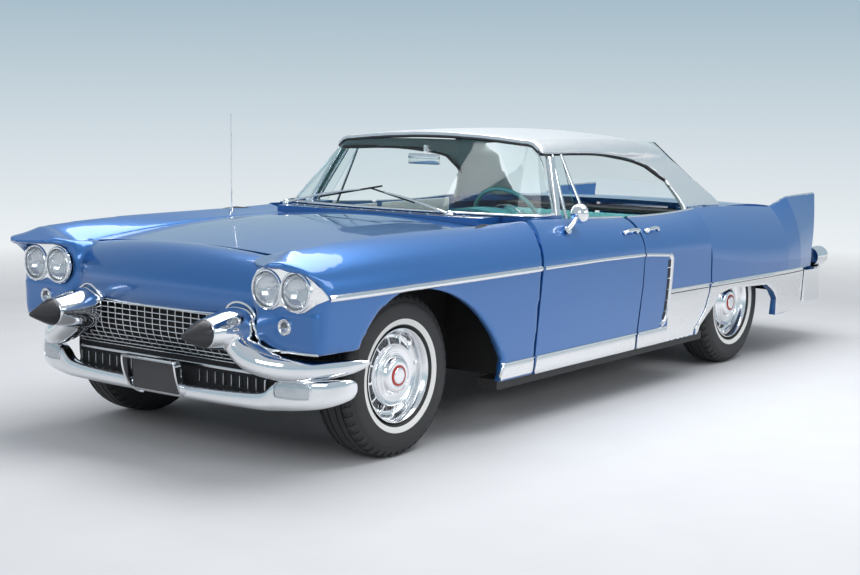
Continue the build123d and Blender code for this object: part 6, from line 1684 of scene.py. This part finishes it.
def roof_side_line(raise_by, lift):
    """The roof's side edge over the side windows, outside it by lift."""
    out = []
    for p in fine([(y, z, 0) for y, z in smooth_rows(WINDOW_TOP, 4)], 0.02):
        hit, normal, _, _ = ROOF_SKIN.ray_cast(Vector((1.2, p.x, p.y + raise_by)), Vector((-1, 0, 0)), 0.7)
        if hit is not None:
            out.append((hit + Vector((lift, 0, -raise_by * 0.5)), Vector((1, 0, 0))))
    return out


pair(
    "drip_rail",
    lambda: sweep(roof_side_line(0.022, 0.000), [(o * 0.9, s) for o, s in round_bar(0.0055, 10)]),
    sharp=60.0,
)
pair(
    "side_seal",
    lambda: sweep(roof_side_line(0.010, -0.012), [(o * 1.1, s * 0.9) for o, s in round_bar(0.0120, 10)]),
    RUBBER_AND_GROOVE_SHADE,
    ON_BODY,
    60.0,
)
print("window line", len(roof_side_line(0.010, 0.0)))

# %% [markdown]
# ## Windscreen posts
# The post leans against the car's usual line, which gives the wrapped windscreen its look. A loft of
# squared ovals replaces the plain frame, and two beads follow the glass along its foot.

# %% Windscreen posts and base
POST_LINE = [(0.822, -0.501, 0.997), (0.790, -0.470, 1.075), (0.748, -0.432, 1.175), (0.700, -0.386, 1.285)]


def post():
    """A bright post that leans in and back, thinner towards the roof."""
    rows = smooth_rows(POST_LINE, 5)
    return loft(
        [
            [
                Vector((x + a, y + b, z))
                for a, b in squared_oval(0.020 - 0.003 * i / len(rows), 0.025, 3.0, 24)
            ]
            for i, (x, y, z) in enumerate(rows)
        ]
    )


posts = pair("screen_post", post, sharp=60.0)
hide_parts("windshield_frame")
BASE_LINE = [
    (0.0, -0.812), (0.20, -0.8072), (0.40, -0.7927), (0.60, -0.7685), (0.746, -0.745), (0.795, -0.715),
    (0.822, -0.672), (0.834, -0.610), (0.838, -0.550),
]
half_base = smooth_rows(BASE_LINE, 4)
base = [(-x, y) for x, y in reversed(half_base[1:])] + half_base
reveal = sweep(
    [(Vector((x * 1.016, y - 0.011, 1.0005)), Vector((0, 0, 1))) for x, y in base], half_round(0.020, 0.010)
)
finish_piece("screen_reveal", reveal, sharp=60.0)
base_seal = sweep([(Vector((x, y, 1.002)), Vector((0, 0, 1))) for x, y in base], round_bar(0.0085, 10))
finish_piece("screen_seal", base_seal, RUBBER_AND_GROOVE_SHADE, "body", 60.0)
print("screen base stations", len(base))

# %% [markdown]
# ## Belt strips
# A slim bright strip tops each door where the window glass goes down. Rays from above find the edge.

# %% Belt strips
def belt_line(name, start, end, x):
    """A low molding along a door's top edge."""
    out = []
    skin = surface_of(name)
    for y in stations(start, end, 0.02):
        hit, normal, _, _ = skin.ray_cast(Vector((x, y, 1.3)), Vector((0, 0, -1)), 0.5)
        out.append((hit, normal if normal.z > 0 else -normal) if hit is not None else None)
    return [sweep(run, half_round(0.013, 0.008)) for run in runs_of(out)]


BELT_X = 0.866
front_belt = belt_line("door_front_left", -0.42, 0.13, BELT_X)
trim_piece("belt_front", front_belt, "door_front_left")
rear_belt = belt_line("door_rear_left", 0.10, 0.90, BELT_X)
trim_piece("belt_rear", rear_belt, "door_rear_left")
print("belt strips on one side", len(front_belt) + len(rear_belt))

# %% [markdown]
# ## Cabin
# Each bench is two pads: a cushion and a back. A plain rounded form is remeshed and blown up a little as
# cloth, then seams are pressed into it. The doors get a pale upper trim, a colored panel and an armrest.

# %% Padded benches
PAD_VOXEL, PAD_PRESSURE, PAD_STEPS, PAD_LIMIT = 0.013, 4.0, 20, 0.022
SEAT_EDGE = 0.640
PAD_SIDES = {
    "front_cushion": [(-0.212, 0.256), (-0.220, 0.300), (-0.200, 0.324), (0.262, 0.312), (0.280, 0.256)],
    "front_back": [
        (0.306, 0.280), (0.402, 0.895), (0.420, 0.910), (0.492, 0.888), (0.500, 0.868), (0.404, 0.262)
    ],
    "rear_cushion": [(0.816, 0.508), (0.810, 0.556), (0.828, 0.580), (0.968, 0.572), (0.974, 0.508)],
    "rear_back": [
        (1.000, 0.590), (1.098, 0.895), (1.116, 0.910), (1.186, 0.888), (1.194, 0.868), (1.108, 0.606)
    ],
}


def blown(bm):
    """The pad after its cloth has swelled under pressure, no point moved farther than the limit."""
    mesh = bpy.data.meshes.new("pad")
    bm.to_mesh(mesh)
    holder = bpy.data.objects.new("pad", mesh)
    bpy.context.scene.collection.objects.link(holder)
    cloth = holder.modifiers.new("cloth", "CLOTH")
    cloth.settings.use_pressure = True
    cloth.settings.uniform_pressure_force = PAD_PRESSURE
    cloth.settings.effector_weights.gravity = 0.0
    cloth.point_cache.frame_end = PAD_STEPS
    for step in range(1, PAD_STEPS + 1):
        bpy.context.scene.frame_set(step)
    done = bpy.data.meshes.new_from_object(holder.evaluated_get(bpy.context.evaluated_depsgraph_get()))
    bm.verts.ensure_lookup_table()
    for v, moved in zip(bm.verts, done.vertices):
        shift = moved.co - v.co
        v.co += shift.normalized() * min(shift.length, PAD_LIMIT)
    bpy.data.objects.remove(holder)
    bpy.data.meshes.remove(mesh)
    bpy.data.meshes.remove(done)
    bpy.context.scene.frame_set(1)
    return bm


def pad(outline):
    """One bench pad with crowned faces, sewn channels and a centre fold."""
    sections = []
    for x, share in (
        (-SEAT_EDGE, 0.90), (-SEAT_EDGE + 0.02, 1.0), (SEAT_EDGE - 0.02, 1.0), (SEAT_EDGE, 0.90)
    ):
        middle = [sum(p[i] for p in outline) / len(outline) for i in (0, 1)]
        sections.append(
            [
                Vector((x, middle[0] + (y - middle[0]) * share, middle[1] + (z - middle[1]) * share))
                for y, z in outline
            ]
        )
    bm = reshaped(
        loft(sections),
        ("REMESH", {"mode": "VOXEL", "voxel_size": PAD_VOXEL}),
        ("SMOOTH", {"factor": 0.5, "iterations": 6}),
    )
    bm = blown(bm)
    bm = reshaped(
        bm, ("SMOOTH", {"factor": 0.5, "iterations": 4}), ("SUBSURF", {"levels": 1, "render_levels": 1})
    )
    bm.normal_update()
    pressed = []
    for v in bm.verts:
        across = abs(v.co.x)
        inside = min(1.0, max(0.0, (SEAT_EDGE - 0.10 - across) / 0.03))
        channel = math.exp(-(((across / 0.085) % 1.0 - 0.5) * 0.085 / 0.007) ** 2) * inside
        fold = math.exp(-(across / 0.010) ** 2)
        welt = math.exp(-((across - SEAT_EDGE + 0.085) / 0.007) ** 2)
        pressed.append((v, v.normal.copy(), 0.004 * channel + 0.006 * fold + 0.005 * welt))
    for v, way, depth in pressed:
        v.co -= way * depth
    return bm


for name, outline in PAD_SIDES.items():
    finish_piece(name, pad(outline), FINISH["seat_cloth"], "body", 80.0)
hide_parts("front_seat")
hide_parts("rear_seat")

# %% [markdown]
# ## Door trims
# An open door shows its inner face: a pale upper part, a colored panel, two bright strips and an
# armrest. They ride on the door, so they swing out with it.

# %% Door trims
DOOR_INNER_X = 0.852
DOOR_SPANS = {"front": (-0.80, 0.10), "rear": (0.15, 0.82)}
TRIM_BANDS = [
    ("trim_upper", 0.800, 0.945, 0.010, PALE_VINYL),
    ("trim_panel", 0.420, 0.786, 0.007, FINISH["interior_trim"]),
]
for end, (start, stop) in DOOR_SPANS.items():
    bodies = (f"door_{end}_left", f"door_{end}_right")
    middle, long = (start + stop) / 2, stop - start
    for name, low, high, thick, finish in TRIM_BANDS:
        def panel():
            """One flat door panel with broken edges."""
            bm = bmesh.new()
            block(
                bm, (thick, long, high - low), (DOOR_INNER_X - thick / 2, middle, (low + high) / 2), 0.004
            )
            return bm
        pair(f"{name}_{end}", panel, finish, bodies)

    def bright_line():
        """Two bright strips across the door panel."""
        bm = bmesh.new()
        for z in (0.793, 0.700):
            block(bm, (0.012, long - 0.02, 0.008), (DOOR_INNER_X - 0.006, middle, z), 0.002)
        return bm

    def armrest():
        """A padded rest that thins out at both ends."""
        line = [
            (Vector((DOOR_INNER_X - 0.030, middle - 0.16 + 0.32 * i / 12, 0.650)), Vector((0, 0, 1)))
            for i in range(13)
        ]
        return sweep(
            line,
            squared_oval(0.026, 0.030, 2.6, 24),
            lambda t: 0.35 + 0.65 * math.sin(math.pi * min(1.0, max(0.0, t))) ** 0.35,
        )

    pair(f"trim_line_{end}", bright_line, CHROME, bodies)
    pair(f"armrest_{end}", armrest, PALE_VINYL, bodies)
print("door trims at", list(DOOR_SPANS))

# %% [markdown]
# ## Dash and steering wheel
# The dash gets bright strips, two dials and a hood over them. The horn ring and cap ride on the steering
# wheel's body and turn with it, though a turned ring looks the same.

# %% Dash, steering wheel and inner mirror
WHEEL_CENTRE, COLUMN_LEAN = Vector((0.390, -0.293, 0.908)), math.radians(25.0)
COLUMN_WAY = Vector((0, math.cos(COLUMN_LEAN), math.sin(COLUMN_LEAN)))
HORN_RING_PROFILE = [(0.006 + a, 0.118 + b) for a, b in round_bar(0.004, 10)]
HORN_CAP_PROFILE = [
    (-0.004, 0.0), (-0.004, 0.046), (0.006, 0.047), (0.014, 0.040), (0.020, 0.024), (0.022, 0.0)
]
DIAL_X, DIAL_Y, DIAL_Z = (0.29, 0.49), -0.468, 0.880
DIAL_RING_PROFILE = [(0.0, 0.050), (0.012, 0.050), (0.016, 0.046), (0.012, 0.043), (0.002, 0.043)]
DIAL_FACE_PROFILE = [(0.001, 0.0), (0.001, 0.044), (0.004, 0.044), (0.004, 0.0)]
horn = spun(HORN_RING_PROFILE, WHEEL_CENTRE, COLUMN_WAY, (1, 0, 0), 64, True)
horn_cap = spun(HORN_CAP_PROFILE, WHEEL_CENTRE, COLUMN_WAY, (1, 0, 0), 40)
horn_all = joined(horn, horn_cap)
for side in (1, -1):
    spoke_centre = WHEEL_CENTRE + COLUMN_WAY * 0.006 + Vector((side * 0.081, 0, 0))
    block(horn_all, (0.074, 0.006, 0.010), spoke_centre, 0.002)
finish_piece("horn_ring", horn_all, CHROME, "steering_wheel", 50.0)
dash_trim = bmesh.new()
block(dash_trim, (1.300, 0.008, 0.010), (0, -0.4700, 0.915), 0.002)
block(dash_trim, (1.300, 0.008, 0.010), (0, -0.4530, 0.840), 0.002)
block(dash_trim, (0.420, 0.010, 0.006), (-0.36, -0.462, 0.880), 0.002)
dial_rings = [along_y(DIAL_RING_PROFILE, (x, DIAL_Y, DIAL_Z), 40, True) for x in DIAL_X]
finish_piece("dash_trim", joined(dash_trim, *dial_rings), sharp=50.0)
dial_faces = joined(*[along_y(DIAL_FACE_PROFILE, (x, DIAL_Y, DIAL_Z), 32) for x in DIAL_X])
finish_piece("dial_faces", dial_faces, SHADE_AND_DIAL_BLACK, "body", 50.0)
hood_line = [
    (
        Vector((0.39 + 0.215 * math.cos(a), -0.560, 0.958 + 0.050 * math.sin(a))),
        Vector((math.cos(a), 0, math.sin(a))),
    )
    for a in (math.pi * i / 20 for i in range(21))
]
dash_hood = sweep(hood_line, [(0.006, -0.085), (0.006, 0.085), (-0.006, 0.085), (-0.006, -0.085)])
finish_piece("dash_hood", dash_hood, FINISH["interior_trim"], "body", 50.0)
glass_mirror = bmesh.new()
block(glass_mirror, (0.205, 0.018, 0.056), (0.0, -0.532, 1.252), 0.006)
block(glass_mirror, (0.012, 0.030, 0.070), (0.0, -0.515, 1.292), 0.003)
finish_piece("inner_mirror", glass_mirror)
print("dials", len(DIAL_X))

# %% [markdown]
# ## Wipers
# Each wiper is a pivot cap, a bowed arm that thins out, and a rubber blade laid on the glass. They lie
# where the photograph shows them, parked across the screen.

# %% Wipers
WIPER_SETS = [
    ((0.413, -0.852, 0.998), (-0.150, -0.716, 1.082)), ((-0.740, -0.812, 0.998), (-0.237, -0.712, 1.092))
]
WIPER_CAP_PROFILE = [(-0.004, 0.0), (-0.004, 0.019), (0.010, 0.017), (0.018, 0.010), (0.020, 0.0)]
BLADE_SECTION = [(0.004, 0.0), (0.001, 0.004), (-0.006, 0.002), (-0.006, -0.002), (0.001, -0.004)]
GLASS_WAY = Vector((0, -0.5, 1)).normalized()
arms, rubbers = [], []
for pivot, tip in WIPER_SETS:
    pivot, tip = Vector(pivot), Vector(tip)
    arms.append(spun(WIPER_CAP_PROFILE, pivot, (0, -0.25, 1), (1, 0, 0), 24))
    bow = [
        (pivot.lerp(tip, i / 12) + Vector((0, -0.012, 0.012)) * math.sin(math.pi * i / 12), GLASS_WAY)
        for i in range(13)
    ]
    arms.append(sweep(bow, [(o, s * 1.5) for o, s in round_bar(0.0048, 8)], lambda t: 1.25 - 0.6 * t))
    way = (tip - pivot).normalized()
    ends = (tip - way * 0.30, tip + way * 0.09)
    blade_line = [(ends[0].lerp(ends[1], i / 10) + Vector((0, -0.004, 0.002)), GLASS_WAY) for i in range(11)]
    rubbers.append(sweep(blade_line, BLADE_SECTION))
arm_piece = finish_piece("wiper_arms", joined(*arms), sharp=50.0)
finish_piece("wiper_blades", joined(*rubbers), RUBBER_AND_GROOVE_SHADE, "body", 50.0)
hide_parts("wipers")
print("wipers", len(WIPER_SETS))

# %% [markdown]
# ## Vent frames
# The small vent pane stands in a bright frame that rides on the front door. Round bars along the pane's
# edges are enough, since the glass itself is the CAD node.

# %% Vent frames
VENT_REAR = [(0.852, -0.262, 0.960), (0.800, -0.262, 1.065), (0.745, -0.262, 1.175), (0.690, -0.262, 1.290)]
VENT_FRONT = [
    (0.853, -0.448, 0.960), (0.800, -0.420, 1.065), (0.745, -0.384, 1.175), (0.690, -0.345, 1.290)
]


def vent_frame():
    """Bright bars behind and ahead of the vent pane, and one along its foot."""
    parts = [
        sweep(
            [(Vector(p), Vector((1, 0, 0.48)).normalized()) for p in smooth_rows(row, 5)],
            [(o, s * 1.15) for o, s in round_bar(0.0075, 10)],
        )
        for row in (VENT_REAR, VENT_FRONT)
    ]
    foot = sweep(
        [
            (Vector((0.853, -0.450 + 0.188 * i / 8, 0.964)), Vector((1, 0, 0.3)).normalized())
            for i in range(9)
        ],
        round_bar(0.007, 10),
    )
    return joined(*parts, foot)


frames = pair("vent_frame", vent_frame, CHROME, ("door_front_left", "door_front_right"), 60.0)
print("vent frames", len(frames))

# %% [markdown]
# ## Rear end
# A bright cap runs along each fin to its tip. Below it stand the round lamps in their bumper pods, the
# bar between them, and a blank plate.

# %% Fins, rear lamps and bumper trim
QUARTER_SKIN = NODE_SKIN["quarter_panels"]
POD_PLACE = Vector((0.885, 2.617, 0.560))
TAIL_BEZEL_PROFILE = [
    (0.0, 0.060), (0.012, 0.060), (0.024, 0.056), (0.028, 0.050), (0.024, 0.046), (0.006, 0.045),
    (0.0, 0.045),
]
TAIL_LENS_PROFILE = [
    (0.002, 0.0), (0.002, 0.046), (0.018, 0.045), (0.030, 0.036), (0.036, 0.020), (0.038, 0.0)
]


def fin_top(y):
    """The left fin's highest point at a place along the car, found by a row of rays from above."""
    down = Vector((0, 0, -1))
    hits = [QUARTER_SKIN.ray_cast(Vector((0.80 + 0.01 * k, y, 1.6)), down)[0] for k in range(16)]
    return max((hit for hit in hits if hit is not None), key=lambda hit: hit.z)


fin_line = [(fin_top(y), Vector((0, 0, 1))) for y in stations(1.980, 2.585, 0.02)]
pair("fin_cap", lambda: sweep(fin_line, half_round(0.016, 0.008), lambda t: 0.55 + 0.6 * t), sharp=60.0)
pair("tail_bezel", lambda: along_y(TAIL_BEZEL_PROFILE, POD_PLACE, 48, True))
RED_LAMP = moulded("red_lamp", (0.34, 0.010, 0.008), (0.42, 0.016, 0.012), 0.10, 200.0, 0.05)
tails = pair("tail_lens", lambda: along_y(TAIL_LENS_PROFILE, POD_PLACE, 48), RED_LAMP, ON_BODY)
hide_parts("tail_lamps")
REAR_SKIN = surface_of("rear_deck", "trunk_lid")


def rear_band(z, half, width, height):
    """A molding across the rear panel."""
    line = []
    for i in range(41):
        hit, normal, _, _ = REAR_SKIN.ray_cast(
            Vector((-half + 2 * half * i / 40, 3.5, z)), Vector((0, -1, 0))
        )
        if hit is not None:
            line.append((hit, normal if normal.y > 0 else -normal))
    return sweep(line, half_round(width, height))


rear_bands = joined(rear_band(0.720, 0.730, 0.018, 0.008), rear_band(0.640, 0.730, 0.010, 0.006))
finish_piece("rear_bands", rear_bands, sharp=60.0)
plate_hit, _, _, _ = REAR_SKIN.ray_cast(Vector((0, 3.5, 0.680)), Vector((0, -1, 0)))
rear_plate = bmesh.new()
block(rear_plate, (0.300, 0.006, 0.150), (0, plate_hit.y + 0.012, 0.680), 0.002)
finish_piece("rear_blank_plate", rear_plate, FINISH["plate_black"], "body")
print("fin stations", len(fin_line), "rear plate y", round(plate_hit.y, 3))
